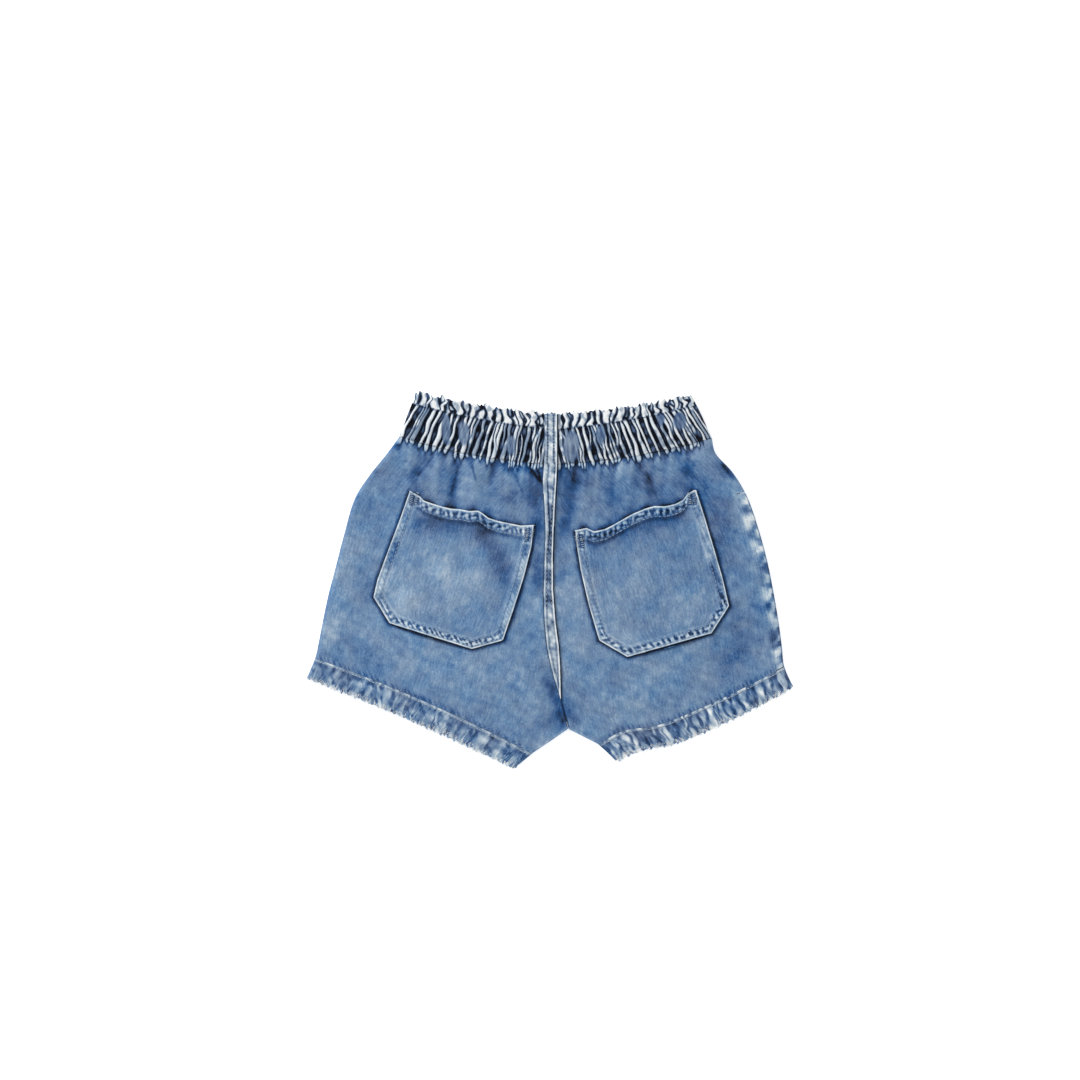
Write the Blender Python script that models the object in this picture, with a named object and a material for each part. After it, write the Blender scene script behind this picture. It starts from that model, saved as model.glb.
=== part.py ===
"""Child's pull-on denim shorts, laid flat with the back side up.

The waist points to +Y, the legs to -Y, and the floor is z = 0. The wearer's left
is at -X, because the back is what shows. Lengths in the tables are millimetres.

The shorts are a tube of cloth pressed flat. A place on a leg is given by a level,
which runs from 0 at the waist seam to 10 at the hem's edge, and by a girth, the
distance along the cloth from the side fold: positive on the back, which lies on
top, and negative on the front, which lies on the floor.
"""

import math
from collections import namedtuple

import bmesh
import bpy
import numpy as np

MM = 0.001

# Cloth
CLOTH = 1.1
SEAM_GAP = 0.3
LAY_GAP = 0.5

# Heights of the flattened tube
BACK_LOWEST = CLOTH + SEAM_GAP + CLOTH
BACK_FLOAT = 1.3
WAIST_RISE = 1.3
WAIST_RISE_REACH = 34.0
SIDE_PUFF = 1.5
SIDE_PUFF_REACH = 17.0

# Side folds
FOLD_DEPTH = 4.0
FOLD_QUARTER = 6.3
FOLD_STEPS = 3
SIDE_WRAP = 8.0
SIDE_WRAP_RIGHT = 3.5
SIDE_SEAM_GAP = 0.7

# Slash pocket mouths on the front
MOUTH_REACH = 38.0
MOUTH_END_ROW = 5
FACING_TIP = 2.0
LEVEL_DEPTH = 22.0

# Gathers and puckers
BAND_GATHERS = 21
GATHER_STEPS = 4
GATHER_DRIFT = 0.22
HEM_PUCKERS = 25
HEM_SLANT = 0.35
HEM_SEAM_GAP = 0.5
HEM_STOP = 0.02
CENTRE_EDGE = 1.0
CENTRE_CALM = 5.0

# Waistband inside faces: the back band lies on the front one
FRONT_BAND_INSIDE = 3.9
BACK_BAND_INSIDE = 4.2
BAND_END_ROUND = 5.0
BAND_END_WALL = 0.9
RUFFLE_WALL = 1.9

# Hems: cloth turned up twice
HEM_DEPTH = 17.0
FRONT_HEM_INSIDE = 2.2
BACK_HEM_INSIDE = 2.5
HEM_END_ROUND = 3.0
HEM_END_WALL = 0.8

# Felled centre seams
SEAM_WIDTH = 11.5
SEAM_FORK_WIDTH = 5.0
SEAM_RAISE = 0.25
SEAM_CLEAR = 0.55
FRONT_SEAM_POINT = 0.16
FRONT_SEAM_FADE = 0.3
FRONT_SEAM_ROOM = 0.9
FRONT_SEAM_END = 6.0

# Back pockets
POCKET_RIM = 7.5
POCKET_RIM_STEP = 2.0
POCKET_RIM_RAISE = 0.7
POCKET_MOUTH_RAISE = 1.1
POCKET_MOUTH_RIPPLE = 0.45
POCKET_MOUTH_WAVES = 5
POCKET_CORNER_ROW = 4

# Mesh fineness
BACK_ROWS = 22
FRONT_ROWS = 16
BACK_COLUMNS = 19
FRONT_COLUMNS = 9
FRONT_CROWDING = 1.6
POCKET_COLUMNS = 5
STRIP_ROWS = 30
FRONT_STRIP_ROWS = 16

Section = namedtuple("Section", "name inner_x inner_y outer_x outer_y bow kick")

# Cross lines of the wearer's left leg, from the centre or inner leg to the side
LEFT_SECTIONS = [
    Section("waist_seam", 3.4, 98.0, -128.0, 121.5, -4.5, 0.0),
    Section("gather_foot", 2.4, 87.0, -139.5, 106.0, -4.0, 0.0),
    Section("high_hip", 1.0, 73.0, -153.5, 88.5, -3.0, 0.0),
    Section("hip", -0.6, 50.0, -166.0, 68.5, -2.0, 0.0),
    Section("seat", -1.8, 18.0, -174.5, 40.0, -0.5, 0.0),
    Section("thigh", -1.0, -20.0, -181.5, 13.0, 1.0, 0.0),
    Section("low_rise", 3.0, -62.0, -188.5, -14.0, 2.5, 0.0),
    Section("fork", 8.5, -98.0, -193.5, -38.0, 3.5, 0.0),
    Section("crotch", 15.6, -126.5, -196.8, -55.0, 4.0, 0.0),
    Section("hem_seam", -15.3, -147.5, -199.5, -66.5, 4.3, 0.0),
    Section("hem_edge", -30.6, -160.2, -206.6, -83.3, 2.5, 0.0),
]

# The same for the right leg, whose hem kinks where the inner leg seam pulls it
RIGHT_SECTIONS = [
    Section("waist_seam", 3.4, 98.0, 137.5, 120.2, -4.3, 0.0),
    Section("gather_foot", 2.4, 87.0, 141.0, 107.0, -3.5, 0.0),
    Section("high_hip", 1.0, 73.0, 155.5, 91.0, -2.5, 0.0),
    Section("hip", -0.6, 50.0, 168.0, 69.5, -1.5, 0.0),
    Section("seat", -1.8, 18.0, 177.5, 42.0, -0.5, 0.0),
    Section("thigh", -1.0, -20.0, 185.0, 14.0, 0.0, 0.0),
    Section("low_rise", 3.0, -62.0, 190.5, -14.0, -1.0, 0.0),
    Section("fork", 8.5, -98.0, 194.5, -38.0, -2.0, 0.0),
    Section("crotch", 15.6, -126.5, 197.0, -57.0, -3.0, 0.0),
    Section("hem_seam", 41.0, -142.0, 199.0, -73.5, -4.5, 7.0),
    Section("hem_edge", 57.0, -156.1, 206.6, -91.0, -5.5, 5.0),
]
HEM_LEVEL = 9
EDGE_LEVEL = 10
CROTCH_LEVEL = 8
KICK_PLACE = 0.13
KICK_SPREAD = 0.13

Fold = namedtuple("Fold", "name start_x start_y end_x end_y spread height")

# Troughs (negative height) and ridges of the back, which lies on top
BACK_FOLDS = [
    Fold("left_gather_run", -78.0, 100.0, -84.0, 66.0, 6.0, -1.2),
    Fold("left_side_run", -99.0, 106.0, -119.0, 88.0, 6.0, -1.0),
    Fold("left_mid_run", -46.0, 98.0, -52.0, 82.0, 5.0, -0.9),
    Fold("left_ridge", -62.0, 100.0, -66.0, 74.0, 6.0, 0.8),
    Fold("left_seam_run", -12.0, 96.0, -9.0, 70.0, 5.0, -1.0),
    Fold("seam_trough", 15.5, 90.0, 7.5, 30.0, 5.0, -1.1),
    Fold("right_near_ridge", 34.0, 98.0, 27.0, 62.0, 8.0, 0.9),
    Fold("right_mid_run", 80.0, 92.0, 92.0, 70.0, 6.0, -1.2),
    Fold("right_mid_ridge", 62.0, 100.0, 70.0, 74.0, 7.0, 0.9),
    Fold("right_side_run", 108.0, 104.0, 136.0, 74.0, 6.0, -1.3),
    Fold("right_side_ridge", 128.0, 100.0, 150.0, 72.0, 8.0, 0.9),
    Fold("right_pocket_edge", 140.0, 58.0, 158.0, 0.0, 8.0, -1.0),
    Fold("left_pocket_sag", -96.0, 46.0, -44.0, 20.0, 16.0, -0.9),
    Fold("left_fork", -3.0, -80.0, 10.0, -122.0, 8.0, -0.9),
    Fold("left_fork_ridge", -22.0, -84.0, -8.0, -128.0, 11.0, 1.0),
    Fold("right_leg_drag", 22.0, -84.0, 70.0, -104.0, 10.0, 1.1),
    Fold("right_leg_hollow", 150.0, -66.0, 178.0, -44.0, 13.0, -1.0),
    Fold("left_leg_swell", -120.0, -70.0, -60.0, -96.0, 18.0, 0.9),
]

BandRow = namedtuple(
    "BandRow",
    "name centre_y left_x left_y right_x right_y bow back_ridge back_trough front_ridge front_trough")

# Rows of the gathered waistband: casing between two stitch lines, ruffle above
BAND_ROWS = [
    BandRow("lower_stitch", 98.5, -128.0, 122.0, 137.4, 120.7, -4.0, 6.3, 5.2, 0.0, 0.9),
    BandRow("casing_low", 107.0, -124.7, 130.0, 133.5, 129.0, -3.6, 8.5, 6.0, 0.0, 1.9),
    BandRow("casing_high", 118.5, -120.8, 140.6, 128.5, 140.0, -3.0, 8.5, 6.0, 0.0, 1.9),
    BandRow("upper_stitch", 127.3, -117.4, 149.4, 124.6, 148.0, -2.6, 6.9, 5.7, 0.0, 1.0),
    BandRow("ruffle_middle", 134.5, -115.4, 155.0, 122.2, 152.8, -2.7, 8.1, 6.4, 0.0, 1.3),
    BandRow("ruffle_edge", 141.3, -113.9, 160.2, 120.0, 157.4, -2.8, 8.6, 6.2, 0.0, 1.7),
]
CASING_ROWS = 4
CENTRE_X = 3.4

HemRow = namedtuple("HemRow", "name share back_ridge back_trough front_ridge front_trough")

# Rows across the depth of a hem, from its stitching to its free edge
HEM_ROWS = [
    HemRow("stitching", 0.0, 4.6, 4.1, 0.0, 0.3),
    HemRow("swell", 0.5, 5.7, 4.7, 0.0, 0.6),
    HemRow("free_edge", 1.0, 4.9, 4.0, 0.0, 0.5),
]

PocketRow = namedtuple("PocketRow", "name left_x left_y right_x right_y bow")

# Rows of each patch pocket, from its mouth down; left and right as seen from the back
LEFT_POCKET = [
    PocketRow("mouth", -119.9, 76.1, -12.8, 46.8, -5.0),
    PocketRow("side_high", -127.5, 54.5, -14.8, 28.0, -2.0),
    PocketRow("side_middle", -138.0, 26.5, -20.5, 4.5, 0.0),
    PocketRow("side_low", -147.5, 0.5, -29.5, -24.0, 0.0),
    PocketRow("corner", -150.9, -14.5, -39.1, -51.9, 0.0),
    PocketRow("bottom", -136.9, -37.4, -66.3, -59.5, -1.0),
]
RIGHT_POCKET = [
    PocketRow("mouth", 20.4, 41.2, 125.0, 76.1, -5.5),
    PocketRow("side_high", 22.3, 25.0, 132.5, 53.0, -2.0),
    PocketRow("side_middle", 25.0, 8.0, 140.5, 26.0, 0.0),
    PocketRow("side_low", 32.0, -22.0, 147.5, 2.0, 0.0),
    PocketRow("corner", 40.8, -51.9, 153.0, -22.1, 0.0),
    PocketRow("bottom", 65.5, -66.3, 137.7, -45.9, -1.0),
]

LEFT = "left"
RIGHT = "right"
SECTIONS = {LEFT: LEFT_SECTIONS, RIGHT: RIGHT_SECTIONS}
POCKETS = {LEFT: LEFT_POCKET, RIGHT: RIGHT_POCKET}
OUTWARD = {LEFT: -1.0, RIGHT: 1.0}


# ---------------------------------------------------------------- lines of the cut

def smooth_value(values, where):
    """Catmull-Rom curve through evenly spaced values, read at 0 to len - 1."""
    last = len(values) - 1
    index = min(int(where), last - 1)
    share = where - index
    before = values[max(index - 1, 0)]
    start = values[index]
    end = values[index + 1]
    after = values[min(index + 2, last)]
    pull_start = (end - before) / 2.0
    pull_end = (after - start) / 2.0
    square = share * share
    cube = square * share
    return (start * (2 * cube - 3 * square + 1) + pull_start * (cube - 2 * square + share)
            + end * (3 * square - 2 * cube) + pull_end * (cube - square))


def straight_value(values, where):
    return float(np.interp(where, range(len(values)), values))


def ease(share):
    """0 below 0, 1 above 1 and a soft step between."""
    share = min(max(share, 0.0), 1.0)
    return share * share * (3.0 - 2.0 * share)


def bump(distance, spread):
    return math.exp(-(distance / spread) ** 2)


def leg_ends(leg, level):
    """Inner and side end of a leg's cross line; the inner leg turns sharply at the crotch."""
    table = SECTIONS[leg]
    inner = np.array([straight_value([row.inner_x for row in table], level),
                      straight_value([row.inner_y for row in table], level)])
    outer = np.array([smooth_value([row.outer_x for row in table], level),
                      smooth_value([row.outer_y for row in table], level)])
    return inner, outer


def leg_width(leg, level):
    inner, outer = leg_ends(leg, level)
    return float(np.linalg.norm(outer - inner))


def leg_point(leg, level, across):
    """Place on a leg: across is 0 at the inner end and 1 at the side fold."""
    table = SECTIONS[leg]
    inner, outer = leg_ends(leg, level)
    bow = smooth_value([row.bow for row in table], level)
    kick = straight_value([row.kick for row in table], level)
    point = inner + (outer - inner) * across
    point[1] += bow * 4.0 * across * (1.0 - across)
    point[1] += kick * bump(across - KICK_PLACE, KICK_SPREAD)
    return point


def side_inset(leg, x, y):
    """Distance from the side fold to a point of the leg."""
    table = SECTIONS[leg]
    heights = [row.outer_y for row in reversed(table)]
    places = [row.outer_x for row in reversed(table)]
    return abs(float(np.interp(y, heights, places)) - x)


def waist_drop(leg, x, y):
    """Distance below the waist seam."""
    seam = SECTIONS[leg][0]
    across = min(max((x - seam.inner_x) / (seam.outer_x - seam.inner_x), 0.0), 1.0)
    line = seam.inner_y + (seam.outer_y - seam.inner_y) * across
    return line + seam.bow * 4.0 * across * (1.0 - across) - y


def fold_height(fold, x, y):
    start = np.array([fold.start_x, fold.start_y])
    run = np.array([fold.end_x, fold.end_y]) - start
    share = float(np.dot(np.array([x, y]) - start, run) / np.dot(run, run))
    share = min(max(share, 0.0), 1.0)
    nearest = start + run * share
    return fold.height * bump(math.hypot(x - nearest[0], y - nearest[1]), fold.spread)


def back_height(leg, x, y):
    """Height of the back's outer face above the floor."""
    rise = WAIST_RISE * ease(1.0 - waist_drop(leg, x, y) / WAIST_RISE_REACH)
    puff = SIDE_PUFF * bump(side_inset(leg, x, y), SIDE_PUFF_REACH)
    folds = sum(fold_height(fold, x, y) for fold in BACK_FOLDS)
    return BACK_LOWEST + max(BACK_FLOAT + rise + puff + folds, 0.05)


# ---------------------------------------------------------------- walls

def closed_wall(name, outer, inner, material, keep=None):
    """Solid between two like grids of points, closed along the edge of the kept cells."""
    mesh = bmesh.new()
    rows = len(outer)
    columns = len(outer[0])
    kept = [(row, column) for row in range(rows - 1) for column in range(columns - 1)
            if keep is None or keep(row, column)]
    made = {}

    def vertex(face, row, column):
        key = (face, row, column)
        if key not in made:
            grid = outer if face == "outer" else inner
            made[key] = mesh.verts.new([value * MM for value in grid[row][column]])
        return made[key]

    edges = {}
    for row, column in kept:
        corners = [(row, column), (row + 1, column), (row + 1, column + 1), (row, column + 1)]
        mesh.faces.new([vertex("outer", *corner) for corner in corners])
        mesh.faces.new([vertex("inner", *corner) for corner in reversed(corners)])
        for start, end in zip(corners, corners[1:] + corners[:1]):
            edges[(start, end)] = (end, start) in edges
            if (end, start) in edges:
                edges[(end, start)] = True
    for (start, end), shared in edges.items():
        if not shared:
            mesh.faces.new([vertex("outer", *end), vertex("outer", *start),
                            vertex("inner", *start), vertex("inner", *end)])
    return finish(name, mesh, material)


def zip_chains(mesh, first, second):
    """Triangles between two chains of vertices that share neither end."""
    one = 0
    two = 0
    while one < len(first) - 1 or two < len(second) - 1:
        share_one = (one + 1) / (len(first) - 1) if one < len(first) - 1 else 2.0
        share_two = (two + 1) / (len(second) - 1) if two < len(second) - 1 else 2.0
        if share_one <= share_two:
            mesh.faces.new([first[one], first[one + 1], second[two]])
            one += 1
        else:
            mesh.faces.new([first[one], second[two + 1], second[two]])
            two += 1


def gathered_wall(name, outer_rows, inner_rows, material):
    """Solid whose outer rows are waved over a plainer inside with fewer rows."""
    mesh = bmesh.new()
    outer = [[mesh.verts.new([value * MM for value in point]) for point in row] for row in outer_rows]
    inner = [[mesh.verts.new([value * MM for value in point]) for point in row] for row in inner_rows]
    columns = len(outer[0])
    for grid in (outer, inner):
        for row, next_row in zip(grid, grid[1:]):
            for column in range(columns - 1):
                mesh.faces.new([row[column], next_row[column], next_row[column + 1], row[column + 1]])
    for side in (0, -1):
        for column in range(columns - 1):
            mesh.faces.new([outer[side][column], outer[side][column + 1],
                            inner[side][column + 1], inner[side][column]])
        zip_chains(mesh, [row[side] for row in outer], [row[side] for row in inner])
    return finish(name, mesh, material)


def finish(name, mesh, material):
    """Make the object, with its faces outwards and its round stretches smooth."""
    bmesh.ops.recalc_face_normals(mesh, faces=mesh.faces)
    data = bpy.data.meshes.new(name)
    mesh.to_mesh(data)
    mesh.free()
    data.materials.append(material)
    data.shade_smooth()
    data.set_sharp_from_angle(angle=math.radians(50.0))
    made = bpy.data.objects.new(name, data)
    bpy.context.scene.collection.objects.link(made)
    return made


def make_material(name, colour, roughness):
    material = bpy.data.materials.new(name)
    material.use_nodes = True
    surface = material.node_tree.nodes["Principled BSDF"]
    surface.inputs["Base Color"].default_value = (*colour, 1.0)
    surface.inputs["Roughness"].default_value = roughness
    surface.inputs["Metallic"].default_value = 0.0
    return material


# ---------------------------------------------------------------- panels

def tube_point(leg, level, girth):
    """Outer and inner cloth point at a girth, with the cloth turned round the side fold."""
    inner_end, outer_end = leg_ends(leg, level)
    width = float(np.linalg.norm(outer_end - inner_end))
    turn = min(abs(girth) / FOLD_QUARTER, 1.0) * math.pi / 2.0
    beyond = max(abs(girth) - FOLD_QUARTER, 0.0)
    inset = FOLD_DEPTH * (1.0 - math.cos(turn)) + beyond
    flat = leg_point(leg, level, 1.0 - max(inset, FOLD_DEPTH) / width)
    top = back_height(leg, *flat)
    middle = top / 2.0
    reach = middle if girth < 0 else top - middle
    side = -1.0 if girth < 0 else 1.0
    place = leg_point(leg, level, 1.0 - inset / width)
    lining = leg_point(leg, level, 1.0 - (inset + CLOTH * math.cos(turn)) / width)
    height = middle + side * reach * math.sin(turn)
    return ((*place, height), (*lining, height - side * CLOTH * math.sin(turn)))


def girth_stops(start, end, back_columns, front_columns):
    """Girths from start on the back side down to end on the front side."""
    stops = []
    if start > FOLD_QUARTER:
        stops += list(np.linspace(start, max(end, FOLD_QUARTER), back_columns + 1))
    if end < FOLD_QUARTER:
        steps = [FOLD_QUARTER * step / FOLD_STEPS for step in range(FOLD_STEPS - 1, -FOLD_STEPS - 1, -1)]
        stops += [step for step in steps if start > FOLD_QUARTER]
    if end < -FOLD_QUARTER:
        first = min(start, -FOLD_QUARTER)
        run = list(np.linspace(first, end, front_columns + 1))
        stops += run[1:] if start > FOLD_QUARTER else run
    return stops


def centre_girth(leg, level):
    """Girth at which a panel meets the centre seam or the inner leg."""
    return FOLD_QUARTER + leg_width(leg, level) - FOLD_DEPTH - SEAM_GAP / 2.0


def front_centre_girth(leg, level):
    """The front's centre seam lies flush between the panels, so they stop at its edges."""
    inner, outer = leg_ends(leg, level)
    slant = abs(outer[0] - inner[0]) / leg_width(leg, level)
    room = (front_seam_half_width(inner[1]) + FRONT_SEAM_ROOM) / slant
    fade = ease((CROTCH_LEVEL - level) / FRONT_SEAM_FADE)
    return -centre_girth(leg, level) + room * fade


def side_seam_girth(leg):
    """Left, the back wraps under the fold; right, the front wraps over it."""
    return -(FOLD_QUARTER + SIDE_WRAP) if leg == LEFT else FOLD_QUARTER + SIDE_WRAP_RIGHT


def mouth_girth(leg, level, levels):
    """Line of the slash pocket's mouth on the front, down to the side."""
    share = min(level / levels[MOUTH_END_ROW], 1.0)
    side = -(FOLD_QUARTER + SIDE_WRAP + SIDE_SEAM_GAP) if leg == LEFT else -FOLD_QUARTER
    return side - MOUTH_REACH * (1.0 - share)


def panel_levels(rows):
    return list(np.linspace(0.0, HEM_LEVEL - HEM_STOP, rows + 1))


def wall_from_girths(name, leg, levels, girth_rows, material, keep=None):
    points = [[tube_point(leg, level, girth) for girth in girths]
              for level, girths in zip(levels, girth_rows)]
    outer = [[pair[0] for pair in row] for row in points]
    inner = [[pair[1] for pair in row] for row in points]
    return closed_wall(name, outer, inner, material, keep)


def make_back_panel(leg, material):
    levels = panel_levels(BACK_ROWS)
    rows = [girth_stops(centre_girth(leg, level), side_seam_girth(leg), BACK_COLUMNS, 2)
            for level in levels]
    return wall_from_girths(f"back_{leg}_panel", leg, levels, rows, material)


def dense_run(start, end):
    """Front girths, closer together towards the inner end."""
    shares = [1.0 - (1.0 - step / FRONT_COLUMNS) ** FRONT_CROWDING for step in range(FRONT_COLUMNS + 1)]
    return [start + (end - start) * share for share in shares]


def make_front_panel(leg, material):
    """The panel fills the front but for the corner beyond the pocket mouth."""
    levels = panel_levels(FRONT_ROWS)
    rows = []
    for level in levels:
        run = dense_run(mouth_girth(leg, level, levels), front_centre_girth(leg, level))
        if leg == RIGHT:
            over = girth_stops(side_seam_girth(leg) - SIDE_SEAM_GAP, -FOLD_QUARTER, 1, 1)
            run = over[:-1] + run
        rows.append(run)
    wrapped = len(rows[0]) - FRONT_COLUMNS - 1

    def keep(row, column):
        return column >= wrapped or row >= MOUTH_END_ROW

    return wall_from_girths(f"front_{leg}_panel", leg, levels, rows, material, keep)


def make_hip_facing(leg, material):
    """The piece that shows beyond the slash pocket's mouth."""
    levels = panel_levels(FRONT_ROWS)[:MOUTH_END_ROW + 1]
    if leg == LEFT:
        levels[-1] *= 1.0 - (FACING_TIP + 2.0 * SEAM_GAP) / MOUTH_REACH
    else:
        levels[-1] -= LAY_GAP / LEVEL_DEPTH
    rows = []
    for level in levels:
        mouth = mouth_girth(leg, level, panel_levels(FRONT_ROWS)) + SEAM_GAP
        if leg == RIGHT:
            over = girth_stops(side_seam_girth(leg) - SIDE_SEAM_GAP, -FOLD_QUARTER, 1, 1)
            rows.append(over[:-2] + list(np.linspace(over[-2], mouth, 4))[1:])
        else:
            side = side_seam_girth(leg) - SIDE_SEAM_GAP
            rows.append(list(np.linspace(side, mouth, 3)))
    return wall_from_girths(f"hip_facing_{leg}", leg, levels, rows, material)


# ---------------------------------------------------------------- gathered pieces

def gather_places(count):
    """Evenly numbered gathers, unevenly spaced: share of the width and height 0 to 1."""
    places = []
    for step in range(count * GATHER_STEPS + 1):
        number = step / GATHER_STEPS
        drift = GATHER_DRIFT * math.sin(number * 1.9) * math.sin(math.pi * number / count)
        strength = 0.78 + 0.22 * math.sin(round(number) * 2.4)
        places.append(((number + drift) / count, strength * (0.5 - 0.5 * math.cos(2 * math.pi * number))))
    return places


def end_round(distance, depth):
    """Share of full height near a fold: a quarter of an ellipse."""
    share = min(max(distance / depth, 0.0), 1.0)
    return math.sqrt(1.0 - (1.0 - share) ** 2)


def band_point(leg, row, across):
    side_x = row.left_x if leg == LEFT else row.right_x
    side_y = row.left_y if leg == LEFT else row.right_y
    start = CENTRE_X + OUTWARD[leg] * SEAM_GAP / 2.0
    x = start + (side_x - start) * across
    y = row.centre_y + (side_y - row.centre_y) * across + row.bow * 4.0 * across * (1.0 - across)
    return x, y, abs(side_x - x), abs(x - start)


def make_band(leg, side, material):
    """Half of the gathered waistband on the back or the front."""
    inside = BACK_BAND_INSIDE if side == "back" else FRONT_BAND_INSIDE
    outer_rows = []
    inner_rows = []
    for number, row in enumerate(BAND_ROWS):
        ridge = row.back_ridge if side == "back" else row.front_ridge
        trough = row.back_trough if side == "back" else row.front_trough
        outer_row = []
        inner_row = []
        for across, height in gather_places(BAND_GATHERS):
            x, y, from_side, from_centre = band_point(leg, row, across)
            calm = ease((from_centre - SEAM_WIDTH / 2.0 - CENTRE_EDGE) / CENTRE_CALM)
            waved = trough + (ridge - trough) * height * calm
            thick = (waved - inside) * end_round(from_side, BAND_END_ROUND)
            least = math.copysign(BAND_END_WALL, waved - inside)
            thick = thick if abs(thick) > BAND_END_WALL else least
            outer_row.append((x, y, inside + thick))
            if number < CASING_ROWS:
                inner_row.append((x, y, inside))
            else:
                wall = min(RUFFLE_WALL, abs(thick))
                inner_row.append((x, y, inside + thick - math.copysign(wall, thick)))
        outer_rows.append(outer_row)
        if number in (0, CASING_ROWS - 1, len(BAND_ROWS) - 1):
            inner_rows.append(inner_row)
    return gathered_wall(f"waistband_{side}_{leg}", outer_rows, inner_rows, material)


def make_hem(leg, side, material):
    """Half of a leg's hem, puckered along its stitching."""
    inside = BACK_HEM_INSIDE if side == "back" else FRONT_HEM_INSIDE
    start_level = HEM_LEVEL + HEM_SEAM_GAP / HEM_DEPTH
    outer_rows = []
    inner_rows = []
    for row in HEM_ROWS:
        level = start_level + (EDGE_LEVEL - start_level) * row.share
        width = leg_width(leg, level)
        ridge = row.back_ridge if side == "back" else row.front_ridge
        trough = row.back_trough if side == "back" else row.front_trough
        outer_row = []
        inner_row = []
        for place, height in gather_places(HEM_PUCKERS):
            lean = HEM_SLANT / HEM_PUCKERS * row.share * math.sin(math.pi * place)
            across = place + lean
            x, y = leg_point(leg, level, across)
            waved = trough + (ridge - trough) * height
            from_end = min(across, 1.0 - across) * width
            thick = (waved - inside) * end_round(from_end, HEM_END_ROUND)
            least = math.copysign(HEM_END_WALL, waved - inside)
            thick = thick if abs(thick) > HEM_END_WALL else least
            outer_row.append((x, y, inside + thick))
            inner_row.append((x, y, inside))
        outer_rows.append(outer_row)
        inner_rows.append(inner_row)
    return gathered_wall(f"hem_{side}_{leg}", outer_rows, [inner_rows[0], inner_rows[-1]], material)


# ---------------------------------------------------------------- seams and pockets

def seam_half_width(y):
    """The felled seam narrows towards the crotch."""
    waist = SECTIONS[LEFT][0].inner_y
    fork = SECTIONS[LEFT][CROTCH_LEVEL].inner_y
    share = min((y - fork) / (waist - fork), 1.0)
    return (SEAM_FORK_WIDTH + (SEAM_WIDTH - SEAM_FORK_WIDTH) * share) / 2.0


def front_seam_half_width(y):
    """The front seam comes to a point just above the crotch."""
    fork = SECTIONS[LEFT][CROTCH_LEVEL].inner_y
    return min(seam_half_width(y), FRONT_SEAM_POINT * (y - fork))


def seam_centre(y):
    table = list(reversed(SECTIONS[LEFT][:CROTCH_LEVEL + 1]))
    return float(np.interp(y, [row.inner_y for row in table], [row.inner_x for row in table]))


def band_centre_height(y):
    """Height of the calm cloth at the middle of the back waistband."""
    heights = [row.centre_y for row in BAND_ROWS]
    return float(np.interp(y, heights, [row.back_trough for row in BAND_ROWS]))


def seam_bed(y):
    """Highest cloth near a place on the back's centre line."""
    reach = 4.0
    places = [y + reach * step / 4.0 for step in range(-4, 5)]
    waist = BAND_ROWS[0].centre_y
    beds = []
    for place in places:
        if place > waist:
            beds.append(band_centre_height(place))
        else:
            beds.append(back_height(LEFT, seam_centre(place), place))
            beds.append(back_height(RIGHT, seam_centre(place) + SEAM_WIDTH / 2.0, place))
            beds.append(back_height(LEFT, seam_centre(place) - SEAM_WIDTH / 2.0, place))
    return max(beds)


def make_centre_back_seam(material):
    """Felled seam from the ruffle, over the casing and down to the crotch."""
    top = BAND_ROWS[-1].centre_y - 0.4
    bottom = SECTIONS[LEFT][CROTCH_LEVEL].inner_y + 1.0
    outer = []
    inner = []
    for y in np.linspace(top, bottom, STRIP_ROWS + 1):
        half = seam_half_width(y)
        under = seam_bed(y) + SEAM_CLEAR
        outer_row = []
        inner_row = []
        for step in (-1.0, -0.5, 0.5, 1.0):
            x = seam_centre(y) + half * step
            crown = SEAM_RAISE if abs(step) < 1.0 else 0.0
            outer_row.append((x, y, under + CLOTH + crown))
            inner_row.append((x, y, under))
        outer.append(outer_row)
        inner.append(inner_row)
    return closed_wall("centre_back_seam", outer, inner, material)


def make_centre_front_seam(material):
    """Felled seam of the front, flush with the panels where it lies on the floor."""
    top = SECTIONS[LEFT][0].inner_y - SEAM_GAP
    bottom = SECTIONS[LEFT][CROTCH_LEVEL].inner_y + FRONT_SEAM_END
    outer = []
    inner = []
    for y in np.linspace(top, bottom, FRONT_STRIP_ROWS + 1):
        half = front_seam_half_width(y)
        edges = [seam_centre(y) - half, seam_centre(y) + half]
        outer.append([(x, y, 0.0) for x in edges])
        inner.append([(x, y, CLOTH) for x in edges])
    return closed_wall("centre_front_seam", outer, inner, material)


def pocket_lines(length, middle, corner=None):
    """Shares of a length with a raised border at both ends, and a line at the corners."""
    border = [0.0, POCKET_RIM / length, (POCKET_RIM + POCKET_RIM_STEP) / length]
    last = 1.0 - border[-1] if corner is None else corner
    inside = list(np.linspace(border[-1], last, middle + 1))[1:]
    return border + inside[:-1 if corner is None else None] + [1.0 - share for share in reversed(border)]


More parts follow.
